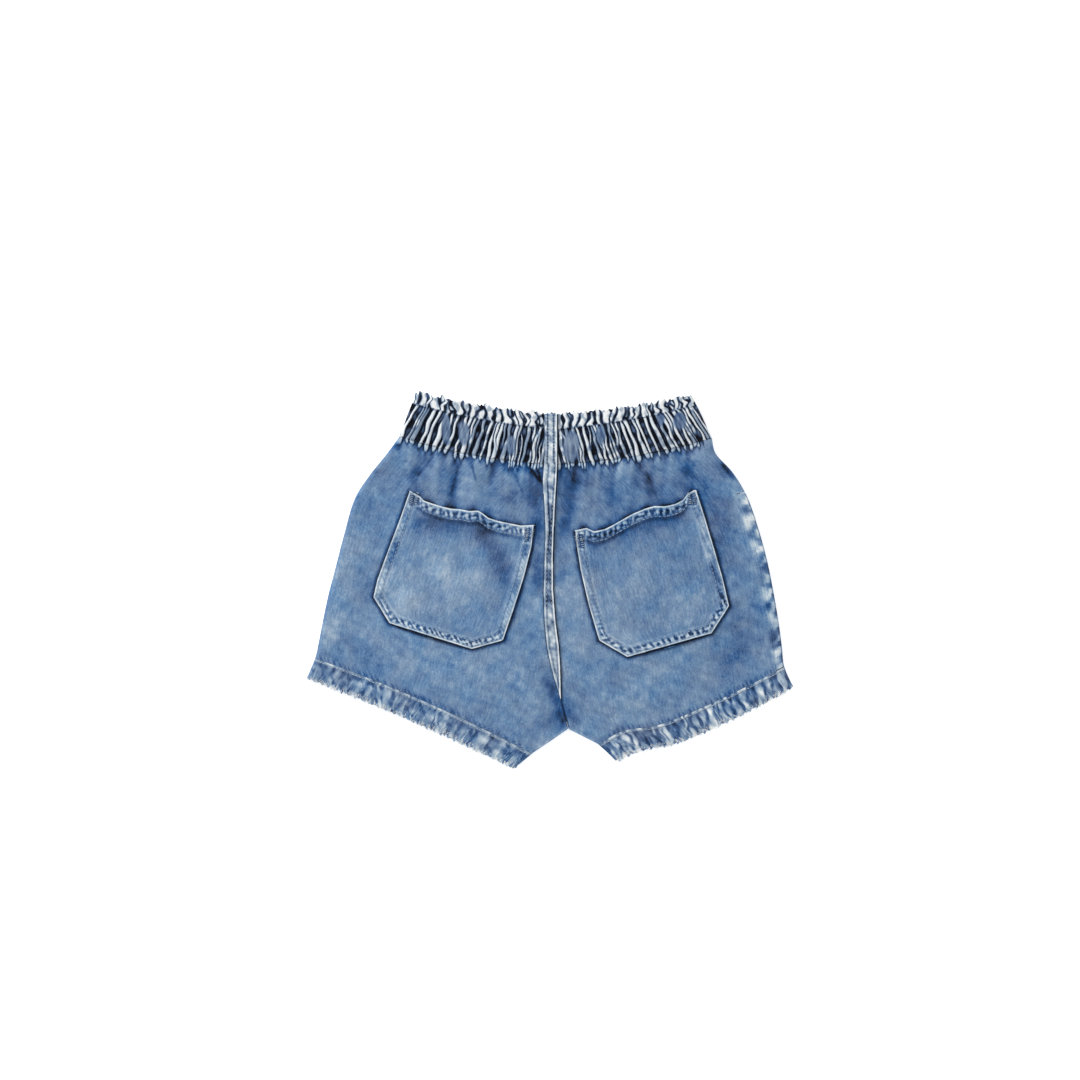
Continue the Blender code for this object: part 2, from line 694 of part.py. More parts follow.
def make_pocket(leg, material):
    """Patch pocket on the back panel, with a turned edge and a rippled mouth hem."""
    table = POCKETS[leg]
    last = len(table) - 1
    depth = table[0].left_y - table[last].left_y
    outer = []
    inner = []
    for down in pocket_lines(depth, POCKET_COLUMNS, POCKET_CORNER_ROW / last):
        place = down * last
        ends = [straight_value([getattr(row, name) for row in table], place)
                for name in ("left_x", "left_y", "right_x", "right_y")]
        bow = straight_value([row.bow for row in table], place)
        width = math.hypot(ends[2] - ends[0], ends[3] - ends[1])
        outer_row = []
        inner_row = []
        for across in pocket_lines(width, POCKET_COLUMNS):
            x = ends[0] + (ends[2] - ends[0]) * across
            ripple = math.sin(2.0 * math.pi * POCKET_MOUTH_WAVES * across)
            mouth = bump(down * depth, POCKET_RIM)
            y = ends[1] + (ends[3] - ends[1]) * across + bow * 4.0 * across * (1.0 - across)
            from_edge = min(across * width, (1.0 - across) * width, (1.0 - down) * depth)
            raised = POCKET_RIM_RAISE if from_edge <= POCKET_RIM + 0.01 else 0.0
            raised = POCKET_MOUTH_RAISE if down * depth <= POCKET_RIM + 0.01 else raised
            under = back_height(leg, x, y) + LAY_GAP + POCKET_MOUTH_RIPPLE * mouth * (1.0 + ripple)
            outer_row.append((x, y, under + CLOTH + raised))
            inner_row.append((x, y, under))
        outer.append(outer_row)
        inner.append(inner_row)
    return closed_wall(f"back_pocket_{leg}", outer, inner, material)


def clear_scene():
    for thing in list(bpy.data.objects):
        bpy.data.objects.remove(thing, do_unlink=True)


def build():
    clear_scene()
    body = make_material("washed_denim", (0.135, 0.255, 0.42), 0.9)
    gathers = make_material("gathered_denim", (0.20, 0.28, 0.38), 0.9)
    patch = make_material("pocket_denim", (0.18, 0.30, 0.46), 0.9)
    worn = make_material("worn_seam_denim", (0.30, 0.40, 0.52), 0.9)
    for leg in (LEFT, RIGHT):
        make_back_panel(leg, body)
        make_front_panel(leg, body)
        make_hip_facing(leg, body)
        make_pocket(leg, patch)
        for side in ("back", "front"):
            make_band(leg, side, gathers)
            make_hem(leg, side, worn)
    make_centre_back_seam(worn)
    make_centre_front_seam(worn)


build()
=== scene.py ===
"""Child's pull-on denim shorts, laid flat with the back side up: shells, stitches and finishes.

The waist points to +Y, the legs to -Y, and the floor is z = 0. The wearer's left is at
-X, because the back is what shows. Lengths in the tables are millimetres.

The shorts are a tube of cloth pressed flat. A place on a leg is given by a level, from
0 at the waist seam to 10 at the hem's edge, and by a girth, the distance along the
cloth from the side fold: positive on the back, on top, and negative on the front.
Every shell carries a "tone": 0 is raw indigo, 0.5 washed blue and 1 worn white; besides wear, the
tone holds painted shade, painted shadow and painted highlight.
"""

import math
from collections import namedtuple

import bpy
import numpy as np
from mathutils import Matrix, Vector


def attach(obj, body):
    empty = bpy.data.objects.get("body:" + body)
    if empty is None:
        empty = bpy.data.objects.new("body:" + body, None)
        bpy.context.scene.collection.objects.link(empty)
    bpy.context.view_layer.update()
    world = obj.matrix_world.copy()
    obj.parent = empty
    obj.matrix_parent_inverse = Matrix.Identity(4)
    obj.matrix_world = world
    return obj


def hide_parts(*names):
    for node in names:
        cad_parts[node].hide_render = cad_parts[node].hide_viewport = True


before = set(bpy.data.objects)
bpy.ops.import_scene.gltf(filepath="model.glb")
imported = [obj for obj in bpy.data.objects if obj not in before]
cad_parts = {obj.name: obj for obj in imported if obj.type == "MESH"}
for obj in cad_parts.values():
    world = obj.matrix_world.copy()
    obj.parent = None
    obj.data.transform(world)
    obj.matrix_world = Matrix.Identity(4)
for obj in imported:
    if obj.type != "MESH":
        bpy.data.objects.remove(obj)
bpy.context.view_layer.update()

bl_info = {
    "name": "Denim Shorts",
    "version": (1, 0, 0),
    "blender": (4, 5, 0),
    "location": "3D View > Sidebar > Shorts",
    "description": "Builds a pair of child's gathered denim shorts, laid flat",
    "category": "Add Mesh",
}

MM = 0.001
BODY = "root"
LEFT = "left"
RIGHT = "right"
LEGS = (LEFT, RIGHT)
SIDES = ("back", "front")
QUARTERS = [(side, leg) for side in SIDES for leg in LEGS]
OUTWARD = {LEFT: -1.0, RIGHT: 1.0}

# Heights of the flattened tube
WALL = 1.1
SEAM_GAP = 0.3
LAY_GAP = 0.5
BACK_LOWEST = 2 * WALL + SEAM_GAP
BACK_FLOAT = 1.3
WAIST_RISE = 1.3
WAIST_RISE_REACH = 34.0
SIDE_PUFF = 1.5
SIDE_PUFF_REACH = 17.0
LEAST_FLOAT = 0.05

# Tones
BODY_TONE = 0.475
POCKET_TONE = {LEFT: 0.455, RIGHT: 0.435}
LINING_TONE = 0.56
# Painted shadow along the right edge of the centre-back seam
DARKEST = 0.02
# Painted shadow on each pocket's turned-under edge, whose cloth is also unfaded
OUTLINE_TONE = 0.03
HEM_PALE = {LEFT: (0.40, 0.64), RIGHT: (0.42, 0.78)}
# Painted shade in the dark lines between the hem's puckers
HEM_DARK = {LEFT: 0.07, RIGHT: 0.16}

# Side folds and slash pocket mouths
FOLD_DEPTH = 4.0
FOLD_QUARTER = 6.3
SIDE_WRAP = 8.0
SIDE_WRAP_RIGHT = 3.5
SIDE_SEAM_GAP = 0.14
SIDE_SEAM_GIRTH = {LEFT: -(FOLD_QUARTER + SIDE_WRAP), RIGHT: FOLD_QUARTER + SIDE_WRAP_RIGHT}
MOUTH_REACH = 38.0
MOUTH_LEVEL = 2.8

# Waistband and hems
CENTRE_X = 3.4
BAND_INSIDE = {"back": 4.2, "front": 3.9}
BAND_SINK = {"back": 0.55, "front": -0.25}
BAND_END_ROUND = 5.0
BAND_END_WALL = 0.9
RUFFLE_WALL = 1.7
BAND_FOOT = 97.0
CASING_TOP_ROW = 3.0
RUFFLE_TOP_ROW = 5.0
CASING_DEPTH = 29.0
HEM_INSIDE = {"back": 2.5, "front": 2.2}
HEM_END_ROUND = 3.0
HEM_END_WALL = 0.8
HEM_START = 9.006
PANEL_END = 8.994
FRONT_STAGGER = 0.03
EDGE_LEVEL = 10.0
CROTCH_LEVEL = 8
HEM_SEAM_LEVEL = 9
HEM_SLANT = 0.92
KICK_PLACE = 0.13
KICK_SPREAD = 0.13


def table_of(kind, rows):
    return [kind(*row) for row in rows]


Section = namedtuple("Section", "name inner_x inner_y outer_x outer_y bow kick")

# Cross lines of the wearer's left leg, from the centre or inner leg to the side
LEFT_SECTIONS = table_of(Section, [
    ("waist_seam", 3.4, 98, -128, 121.5, -4.5, 0),
    ("gather_foot", 2.4, 87, -139.5, 106, -4, 0),
    ("high_hip", 1, 73, -153.5, 88.5, -3, 0),
    ("hip", -0.6, 50, -166, 68.5, -2, 0),
    ("seat", -1.8, 18, -174.5, 40, -0.5, 0),
    ("thigh", -1, -20, -181.5, 13, 1, 0),
    ("low_rise", 3, -62, -188.5, -14, 2.5, 0),
    ("fork", 8.5, -98, -193.5, -38, 3.5, 0),
    ("crotch", 15.6, -126.5, -196.8, -55, 4, 0),
    ("hem_seam", -15.3, -147.5, -199.5, -66.5, 4.3, 0),
    ("hem_edge", -30.6, -160.2, -206.6, -83.3, 2.5, 0),
])
RIGHT_SECTIONS = table_of(Section, [
    ("waist_seam", 3.4, 98, 137.5, 120.2, -4.3, 0),
    ("gather_foot", 2.4, 87, 141, 107, -3.5, 0),
    ("high_hip", 1, 73, 155.5, 91, -2.5, 0),
    ("hip", -0.6, 50, 168, 69.5, -1.5, 0),
    ("seat", -1.8, 18, 177.5, 42, -0.5, 0),
    ("thigh", -1, -20, 185, 14, 0, 0),
    ("low_rise", 3, -62, 190.5, -14, -1, 0),
    ("fork", 8.5, -98, 194.5, -38, -2, 0),
    ("crotch", 15.6, -126.5, 197, -57, -3, 0),
    ("hem_seam", 41, -142, 199, -73.5, -4.5, 7),
    ("hem_edge", 57, -156.1, 206.6, -91, -5.5, 5),
])
SECTIONS = {LEFT: LEFT_SECTIONS, RIGHT: RIGHT_SECTIONS}

# A soft stroke fades away from a line. Its amount is a height in millimetres, or a tone.
Stroke = namedtuple("Stroke", "name start_x start_y end_x end_y spread amount")

# Troughs (negative amount) and ridges of the back
BACK_CREASES = table_of(Stroke, [
    ("left_gather_run", -78, 100, -84, 66, 6, -1.2),
    ("left_side_run", -99, 106, -119, 88, 6, -1),
    ("left_mid_run", -46, 98, -52, 82, 5, -0.9),
    ("left_ridge", -62, 100, -66, 74, 6, 0.8),
    ("left_seam_run", -12, 96, -9, 70, 5, -1),
    ("seam_trough", 15.5, 90, 7.5, 30, 5, -1.1),
    ("right_near_ridge", 34, 98, 27, 62, 8, 0.9),
    ("right_mid_run", 80, 94, 92, 68, 6, -1),
    ("right_mid_ridge", 62, 100, 70, 74, 7, 0.9),
    ("right_side_run", 108, 104, 136, 74, 6.5, -1),
    ("right_side_ridge", 128, 100, 150, 72, 8, 0.9),
    ("right_pocket_edge", 140, 58, 158, 0, 8, -1),
    ("left_pocket_sag", -96, 46, -44, 20, 16, -0.9),
    ("left_fork", -3, -80, 10, -122, 8, -0.9),
    ("left_fork_ridge", -22, -84, -8, -128, 11, 1),
    ("right_leg_drag", 22, -84, 70, -104, 10, 1.1),
    ("right_leg_hollow", 150, -66, 178, -44, 13, -1),
    ("left_leg_swell", -120, -70, -60, -96, 18, 0.9),
])

# Shallow dents pressed up into the front, which lies on the floor
FRONT_CREASES = table_of(Stroke, [
    ("left_front_drag", -20, -70, -84, -40, 9, 0.5),
    ("left_front_run", -60, 94, -70, 58, 6, 0.45),
    ("left_front_side", -96, 98, -118, 60, 7, 0.4),
    ("left_front_leg", -90, -62, -150, -30, 11, 0.4),
    ("right_front_drag", 26, -74, 92, -48, 9, 0.5),
    ("right_front_run", 52, 94, 60, 52, 6, 0.45),
    ("right_front_side", 100, 98, 124, 58, 7, 0.4),
    ("right_front_leg", 100, -74, 152, -38, 11, 0.4),
    ("front_rise", -8, 60, -16, 20, 6, 0.35),
])

# Darker and paler strokes on the back: painted shade in its folds, hollows and seam troughs,
# painted highlight beside some folds, and worn and darker patches of the wash
BACK_SHADES = table_of(Stroke, [
    ("upper_left", -130, 88, -20, 78, 26, -0.05),
    ("upper_right", 20, 80, 140, 88, 26, -0.08),
    ("upper_mid_right", 20, 84, 60, 66, 14, -0.04),
    ("upper_mid_left", -50, 76, -24, 66, 12, -0.05),
    ("left_gather_run", -79, 98, -83, 66, 4, -0.13),
    ("left_gather_line", -78, 96, -84, 72, 1.3, -0.14),
    ("left_gather_glow", -71, 92, -69, 70, 7, 0.09),
    ("left_side_run", -101, 106, -116, 90, 3, -0.08),
    ("left_side_line", -100, 104, -112, 89, 1, -0.12),
    ("left_mid_run", -47, 98, -51, 84, 3.4, -0.1),
    ("left_mid_line", -66, 97, -63, 84, 1.1, -0.16),
    ("left_near_line", -31, 92, -24, 76, 1.2, -0.14),
    ("left_seam_run", -15, 96, -7.5, 84, 4, -0.26),
    ("left_seam_side", -12, 76, -10, -8, 6, -0.14),
    ("left_seam_low", -12, -18, -10, -36, 8, 0.06),
    ("left_hip", -160, 62, -156, 50, 13, -0.07),
    ("left_flank", -176, 24, -180, -8, 10, 0.05),
    ("left_thigh", -184, -36, -190, -52, 9, 0.06),
    ("left_pocket_side", -150, 8, -160, -22, 9, -0.07),
    ("left_leg_cloud", -168, -56, -150, -74, 12, -0.06),
    ("left_leg_pale", -66, -72, -44, -66, 14, 0.02),
    ("left_leg_grey", -110, -92, -50, -118, 16, -0.04),
    ("left_fork", -2, -84, 9, -122, 6, -0.13),
    ("left_fork_side", -14, -126, -4, -120, 8, -0.08),
    ("left_fork_fold", 1, -90, 11, -119, 3.2, -0.15),
    ("fork_line", 9.6, -103, 15.4, -125, 1, -0.3),
    ("seam_fold_1", -17.5, 98, -9.5, 85, 0.9, -0.4),
    ("seam_fold_pale", -14.5, 97, -9, 86, 1, 0.2),
    ("seam_fold_2", -11.5, 97.5, -8, 84, 0.8, -0.36),
    ("seam_trough", 19, 90, 15, 44, 6, -0.14),
    ("seam_trough_low", 10, 48, 9, 4, 5, -0.1),
    ("right_mid_run", 80, 94, 91, 66, 4.4, -0.09),
    ("right_mid_line", 82, 92, 92, 68, 1.3, -0.08),
    ("right_far_line", 62, 92, 66, 74, 1.2, -0.12),
    ("right_side_run", 110, 101, 128, 83, 3.4, -0.05),
    ("right_side_low", 128, 83, 138, 70, 6, -0.02),
    ("notch_dark", 147.4, 97.5, 154.4, 88, 2.2, -0.3),
    ("notch_pale", 150, 100, 158.5, 89.5, 1.4, 0.46),
    ("right_pocket_side", 144, 64, 151, 18, 9, -0.15),
    ("right_hip_pale", 153, 81, 163, 70, 6, 0.1),
    ("right_leg_grey", 164, -30, 150, -66, 15, -0.1),
    ("right_leg_dark", 20, -92, 56, -84, 11, -0.07),
    ("right_inner", 22, -62, 24, -30, 9, 0.03),
    ("right_fork", 13, -104, 20, -122, 5, -0.1),
    ("seam_patch_1", 163.5, 72, 166, 67, 3.2, 0.16),
    ("seam_patch_2", 166, 52, 168.5, 45, 3.4, 0.24),
    ("seam_patch_3", 173.5, 31, 176, 26, 4.2, 0.3),
    ("seam_patch_4", 182.5, -10, 184.5, -16, 3.8, 0.36),
    ("seam_patch_5", 187, -28, 188.5, -34, 3.2, 0.24),
    ("seam_patch_6", 191, -62, 193, -67, 3.4, 0.3),
    ("seam_dark_1", 165, 61, 167, 58, 3, -0.14),
    ("seam_dark_2", 172.5, 39, 174, 36, 3, -0.16),
    ("seam_dark_3", 179.5, 14, 181, 4, 3.6, -0.1),
    ("seam_dark_4", 185.5, -20, 187, -25, 3.2, -0.22),
    ("seam_dark_5", 188.5, -45, 190.5, -56, 3.2, -0.22),
])

FRONT_SHADES = table_of(Stroke, [
    ("left_thigh_wear", -96, 8, -104, -30, 34, 0.08),
    ("right_thigh_wear", 100, 8, 108, -30, 34, 0.08),
    ("left_whisker_1", -22, 2, -66, 18, 4, 0.09),
    ("left_whisker_2", -24, -14, -70, 0, 4.5, 0.08),
    ("right_whisker_1", 20, 4, 64, 19, 4, 0.09),
    ("right_whisker_2", 22, -12, 68, 2, 4.5, 0.08),
    ("front_rise", -14, 70, -12, -40, 6, -0.12),
    ("upper_front", -110, 92, 110, 92, 18, -0.08),
])

POCKET_SHADES = {
    LEFT: table_of(Stroke, [
        ("mouth_shadow", -112, 50, -60, 44, 9, -0.15),
        ("sag_shadow", -54, 39, -40, 12, 9, -0.16),
        ("sag_low", -40, 8, -40, -10, 8, -0.09),
        ("corner_wear", -132, -2, -124, -22, 13, 0.12),
        ("middle_wear", -100, 16, -70, 2, 18, 0.09),
        ("low_wear", -92, -26, -62, -30, 12, 0.04),
        ("edge_pale_1", -125.5, 50, -129, 40, 3.4, 0.14),
        ("edge_dark_1", -130.5, 30, -134.5, 16, 3.2, -0.14),
        ("edge_pale_2", -141, 6, -145, -8, 3.6, 0.16),
        ("edge_pale_3", -22, 16, -26, 2, 3.4, 0.14),
        ("edge_dark_2", -18.5, 32, -20.5, 22, 3, -0.14),
        ("edge_pale_4", -30, -14, -38, -36, 3.6, 0.12),
    ]),
    RIGHT: table_of(Stroke, [
        ("mouth_shadow", 34, 34, 112, 56, 8, -0.13),
        ("middle_wear", 56, -12, 84, 6, 20, 0.05),
        ("corner_wear", 112, -30, 124, -18, 12, 0.09),
        ("low_wear", 58, -44, 70, -50, 9, 0.1),
        ("edge_pale_1", 127, 50, 130, 42, 3.2, 0.16),
        ("edge_pale_2", 132, 30, 134.5, 20, 3.2, 0.14),
        ("edge_dark_1", 137, 12, 141, 0, 3.4, -0.12),
        ("edge_dark_2", 143, -8, 147, -18, 3.6, -0.14),
        ("edge_pale_3", 27, 8, 31, -12, 3, 0.1),
        ("edge_pale_4", 36, -32, 40, -46, 3.6, 0.12),
    ]),
}

FACES = "back_ridge back_trough front_ridge front_trough"
BandRow = namedtuple("BandRow", f"name centre_y left_x left_y right_x right_y bow {FACES}")

# Rows of the gathered waistband: casing between two stitch lines, ruffle above
BAND_ROWS = table_of(BandRow, [
    ("lower_stitch", 98.15, -128, 121.65, 137.4, 120.35, -4.4, 6.3, 5.2, 0, 0.9),
    ("casing_low", 107, -124.7, 130, 133.5, 129, -3.6, 8.5, 6, 0, 1.9),
    ("casing_high", 118.5, -120.8, 140.6, 128.5, 140, -3, 8.5, 6, 0, 1.9),
    ("upper_stitch", 127.3, -117.4, 149.4, 124.6, 148, -2.6, 6.9, 5.7, 0, 1),
    ("ruffle_middle", 134.5, -115.4, 155, 122.2, 152.8, -2.7, 7.8, 6.8, 0, 1.3),
    ("ruffle_edge", 141.3, -113.9, 160.2, 120, 157.4, -2.8, 8.3, 6.7, 0, 1.7),
])

HemRow = namedtuple("HemRow", f"name {FACES}")
HEM_ROWS = table_of(HemRow, [
    ("stitching", 4.6, 4.3, 0, 0.3),
    ("swell", 5.6, 4.9, 0, 0.6),
    ("free_edge", 4.9, 4, 0, 0.5),
])

# Gathers: share of the width that each leans, how wide it is and how it wanders
GatherPlan = namedtuple("GatherPlan", "seed count lean narrow wide jitter wander forks")
CASING_PLANS = {
    ("back", LEFT): GatherPlan(11, 23, -0.030, 0.36, 0.62, 0.24, 0.11, 10),
    ("back", RIGHT): GatherPlan(25, 24, -0.036, 0.36, 0.62, 0.24, 0.11, 10),
    ("front", LEFT): GatherPlan(31, 22, -0.030, 0.38, 0.64, 0.24, 0.15, 8),
    ("front", RIGHT): GatherPlan(47, 22, -0.030, 0.38, 0.64, 0.24, 0.15, 8),
}
RUFFLE_PLANS = {
    ("back", LEFT): GatherPlan(53, 17, 0.020, 0.50, 1.05, 0.34, 0.20, 7),
    ("back", RIGHT): GatherPlan(67, 18, 0.020, 0.50, 1.05, 0.34, 0.20, 7),
    ("front", LEFT): GatherPlan(71, 19, 0.020, 0.40, 0.80, 0.34, 0.28, 7),
    ("front", RIGHT): GatherPlan(83, 19, 0.020, 0.40, 0.80, 0.34, 0.28, 7),
}
HEM_PLANS = {
    ("back", LEFT): GatherPlan(97, 22, -0.036, 0.75, 1.10, 0.30, 0.10, 4),
    ("back", RIGHT): GatherPlan(101, 23, -0.030, 0.70, 1.10, 0.30, 0.12, 5),
    ("front", LEFT): GatherPlan(113, 25, 0.020, 0.60, 1.00, 0.30, 0.12, 6),
    ("front", RIGHT): GatherPlan(127, 25, 0.020, 0.60, 1.00, 0.30, 0.12, 6),
}

# Flatter stretches of the casing, where blue cloth shows between the gathers
BandPatch = namedtuple("BandPatch", "x y reach_x reach_y tone")
BAND_PATCHES = table_of(BandPatch, [
    (-88, 128, 4, 14, 0.4),
    (-73, 124, 5, 10, 0.46),
    (-33, 114, 4, 9, 0.42),
    (18, 113, 7.5, 14, 0.46),
    (43, 123, 4.5, 9, 0.36),
    (110, 135, 5.5, 8, 0.34),
    (94, 137, 3.5, 6, 0.38),
])

PocketRow = namedtuple("PocketRow", "name left_x left_y right_x right_y bow")
LEFT_POCKET = table_of(PocketRow, [
    ("mouth", -119.9, 76.1, -12.8, 46.8, -5),
    ("side_high", -127.5, 54.5, -14.8, 28, -2),
    ("side_middle", -138, 26.5, -20.5, 4.5, 0),
    ("side_low", -147.5, 0.5, -29.5, -24, 0),
    ("corner", -150.9, -14.5, -39.1, -51.9, 0),
    ("bottom", -136.9, -37.4, -66.3, -59.5, -1),
])
RIGHT_POCKET = table_of(PocketRow, [
    ("mouth", 20.4, 41.2, 125, 76.1, -5.5),
    ("side_high", 22.3, 25, 132.5, 53, -2),
    ("side_middle", 25, 8, 140.5, 26, 0),
    ("side_low", 32, -22, 147.5, 2, 0),
    ("corner", 40.8, -51.9, 153, -22.1, 0),
    ("bottom", 65.5, -66.3, 137.7, -45.9, -1),
])
POCKETS = {LEFT: LEFT_POCKET, RIGHT: RIGHT_POCKET}

# Sagging line of each pocket's mouth, as x and y
POCKET_MOUTHS = {
    LEFT: [(-119.9, 76.3), (-110.0, 70.8), (-107.2, 67.5), (-100.6, 65.2), (-91.2, 62.3),
           (-83.6, 60.5), (-77.0, 60.3), (-68.5, 58.6), (-61.0, 59.0), (-57.2, 56.7),
           (-52.5, 52.9), (-44.0, 50.1), (-34.5, 48.2), (-25.0, 46.3), (-12.8, 46.8)],
    RIGHT: [(20.4, 42.0), (31.0, 44.3), (37.4, 41.3), (46.8, 43.4), (53.6, 46.8),
            (63.8, 52.7), (70.6, 56.4), (80.8, 60.7), (88.4, 62.9), (97.8, 62.6),
            (106.3, 64.6), (113.0, 68.0), (116.5, 73.0), (122.0, 76.4), (125.0, 76.1)],
}
POCKET_MOUTH_FADE = 22.0
POCKET_HEM = 8.6
POCKET_RIM = 7.5

# Left and right edge of the felled centre-back seam at falling y
SeamRow = namedtuple("SeamRow", "y left right")
BACK_SEAM = table_of(SeamRow, [
    (140.9, -4.7, 7),
    (112, -4.7, 7.1),
    (98, -5.3, 7.2),
    (85, -6.4, 6.6),
    (64, -5.5, 5.2),
    (42, -4.3, 4.1),
    (18, -5.2, 3.4),
    (-8.5, -6, 3.5),
    (-35, -5.3, 5.6),
    (-57, -3.2, 8.5),
    (-75, 0.8, 9.6),
    (-90, 5.2, 10),
    (-102, 8.9, 10.2),
])
BACK_SEAM_CLEAR = 0.45
SEAM_WALL = WALL * 0.75
SEAM_RAISE = 0.45
FRONT_THREAD_HEIGHT = 0.22
STITCH_LIFT = 0.12
POCKET_STITCH_INSETS = (3.0, 7.6)
MOUTH_STITCH_DROP = 8.8
MOUTH_STITCH_INSETS = (2.2, 7.6)
TACK_SIDE = 4.6
TACK_DROP = 7.5
TACK_HALF = 4.4
TACK_SPREAD = 2.2
BAND_STITCH_ROWS = (0.12, CASING_TOP_ROW)
BAND_STITCH_ENDS = (0.05, 0.985)
HEM_STITCH_ENDS = (0.012, 0.988)
HEM_STITCH_SHARE = 0.10
HEM_STITCH_LIFT = {"back": 0.25, "front": -0.02}
HEM_FRAYS = 230
RUFFLE_FRAYS = 26

# Mesh steps, and counts of rows or columns
BACK_STEP = 0.92
BACK_TOP_ROWS = 18
BACK_ROWS = 143
BACK_WIDTH = 215.0
FRONT_STEP = 2.2
FRONT_LENGTH = 235.0
FRONT_WIDTH = 195.0
SIDE_WRAP_COLUMNS = 11
FACING_ROWS = 35
FACING_COLUMNS = 30
FACING_FOOT = {LEFT: 0.20, RIGHT: 0.01}
POCKET_STEP = 1.25
BAND_WIDTH = 135.0
BAND_STEP = {"back": 0.47, "front": 0.47 * 1.8}
BAND_ROW_COUNT = {"back": 62, "front": 34}
HEM_LENGTH = {LEFT: 192.0, RIGHT: 165.0}
HEM_STEP = {"back": 0.62, "front": 0.62 * 1.6}
HEM_ROW_COUNT = {"back": 22, "front": 12}
BACK_SEAM_ROWS = 190
BACK_SEAM_COLUMNS = 27
FRONT_SEAM_ROWS = 110
FRONT_SEAM_COLUMNS = 11

# Stage, in metres
FLOOR_REACH = 3.0
FLOOR_LEVEL = -0.0004
WORLD_STRENGTH = 0.52
LAMPS = [
    ("window", (-1.5, 1.2, 1.3), 1.0, 40.0),
    ("fill", (1.6, -0.6, 1.8), 1.6, 9.0),
]
CAMERA_HEIGHT = 3.0
FRAME_WIDTH = 0.918
FRAME_CENTRE = (-0.0085, 0.034)

# Cut of each piece: width, length and area as sewn, in metres
Cut = namedtuple("Cut", "width length area held rests_on")


# ---------------------------------------------------------------- lines of the cut

def column(table, name):
    return np.array([getattr(row, name) for row in table], float)


def straight(values, where):
    return np.interp(where, np.arange(len(values)), values)


def smooth(values, where):
    """Catmull-Rom curve through evenly spaced values."""
    values = np.asarray(values, float)
    last = len(values) - 1
    index = np.clip(np.floor(where).astype(int), 0, last - 1)
    share = where - index
    start = values[index]
    end = values[index + 1]
    pull_start = (end - values[np.maximum(index - 1, 0)]) / 2.0
    pull_end = (values[np.minimum(index + 2, last)] - start) / 2.0
    square = share * share
    cube = square * share
    return (start * (2 * cube - 3 * square + 1) + pull_start * (cube - 2 * square + share)
            + end * (3 * square - 2 * cube) + pull_end * (cube - square))


def ease(share):
    share = np.clip(share, 0.0, 1.0)
    return share * share * (3.0 - 2.0 * share)


def bump(distance, spread):
    return np.exp(-(distance / spread) ** 2)


def mix(first, second, share):
    return first + (second - first) * share


def arch(across, bow):
    """Bow of a line that is held at both ends."""
    return bow * 4.0 * across * (1.0 - across)


def random_field(seed, length, count=12):
    """Smooth random field of a typical wavelength, with a spread of about 1."""
    draw = np.random.default_rng(seed)
    angle = draw.uniform(0.0, 2.0 * math.pi, count)
    rate = 2.0 * math.pi / (length * draw.uniform(0.7, 1.6, count))
    phase = draw.uniform(0.0, 2.0 * math.pi, count)

    def field(x, y=0.0):
        total = 0.0
        for turn, speed, start in zip(angle, rate, phase):
            total = total + np.sin(speed * (x * math.cos(turn) + y * math.sin(turn)) + start)
        return total / math.sqrt(count / 2.0)

    return field


def random_line(seed, length, count=8):
    """Smooth random curve along one distance, with a spread of about 1."""
    draw = np.random.default_rng(seed)
    rate = 2.0 * math.pi / (length * draw.uniform(0.6, 1.7, count))
    phase = draw.uniform(0.0, 2.0 * math.pi, count)

    def line(distance):
        total = 0.0
        for speed, start in zip(rate, phase):
            total = total + np.sin(speed * distance + start)
        return total / math.sqrt(count / 2.0)

    return line


WRINKLES = random_field(5, 30.0)
SMALL_WRINKLES = random_field(6, 12.0)
SIDE_PATCHES = random_line(15, 13.0)
HEM_HATCH = random_line(19, 3.2)
RUNS = random_line(21, 8.0)
LONG_RUNS = random_line(22, 19.0)
PATCHES = random_field(23, 9.0)
RUFFLE_EDGE = random_line(29, 5.0)
RUFFLE_WAVE = random_line(37, 14.0)
RUFFLE_FILL = random_field(38, 7.0)
RUFFLE_GAPS = random_field(39, 9.0)
BAND_FILL = random_field(41, 10.0)
HEM_EDGE = random_line(43, 4.5)
HEM_PATCHES = random_line(59, 11.0)
HEM_THREADS = random_line(60, 3.4)
BACK_SEAM_WEAR = random_line(61, 14.0)
FRONT_SEAM_WEAR = random_line(73, 14.0)
POCKET_PUCKERS = {LEFT: random_line(79, 4.6), RIGHT: random_line(89, 4.6)}
MOUTH_PUCKERS = {LEFT: random_line(91, 4.0), RIGHT: random_line(93, 4.0)}
SCRIBBLES = random_field(94, 4.2)
MOUTH_DEPTHS = random_line(95, 16.0)


def leg_ends(leg, level):
    table = SECTIONS[leg]
    return (straight(column(table, "inner_x"), level), straight(column(table, "inner_y"), level),
            smooth(column(table, "outer_x"), level), smooth(column(table, "outer_y"), level))


def leg_width(leg, level):
    inner_x, inner_y, outer_x, outer_y = leg_ends(leg, level)
    return np.hypot(outer_x - inner_x, outer_y - inner_y)


def leg_point(leg, level, across):
    table = SECTIONS[leg]
    inner_x, inner_y, outer_x, outer_y = leg_ends(leg, level)
    bow = smooth(column(table, "bow"), level)
    kick = straight(column(table, "kick"), level)
    x = mix(inner_x, outer_x, across)
    y = mix(inner_y, outer_y, across) + arch(across, bow)
    return x, y + kick * bump(across - KICK_PLACE, KICK_SPREAD)


def side_inset(leg, x, y):
    table = SECTIONS[leg][::-1]
    return np.abs(np.interp(y, column(table, "outer_y"), column(table, "outer_x")) - x)


def section_share(leg, level, x):
    row = SECTIONS[leg][level]
    return np.clip((x - row.inner_x) / (row.outer_x - row.inner_x), 0.0, 1.0)


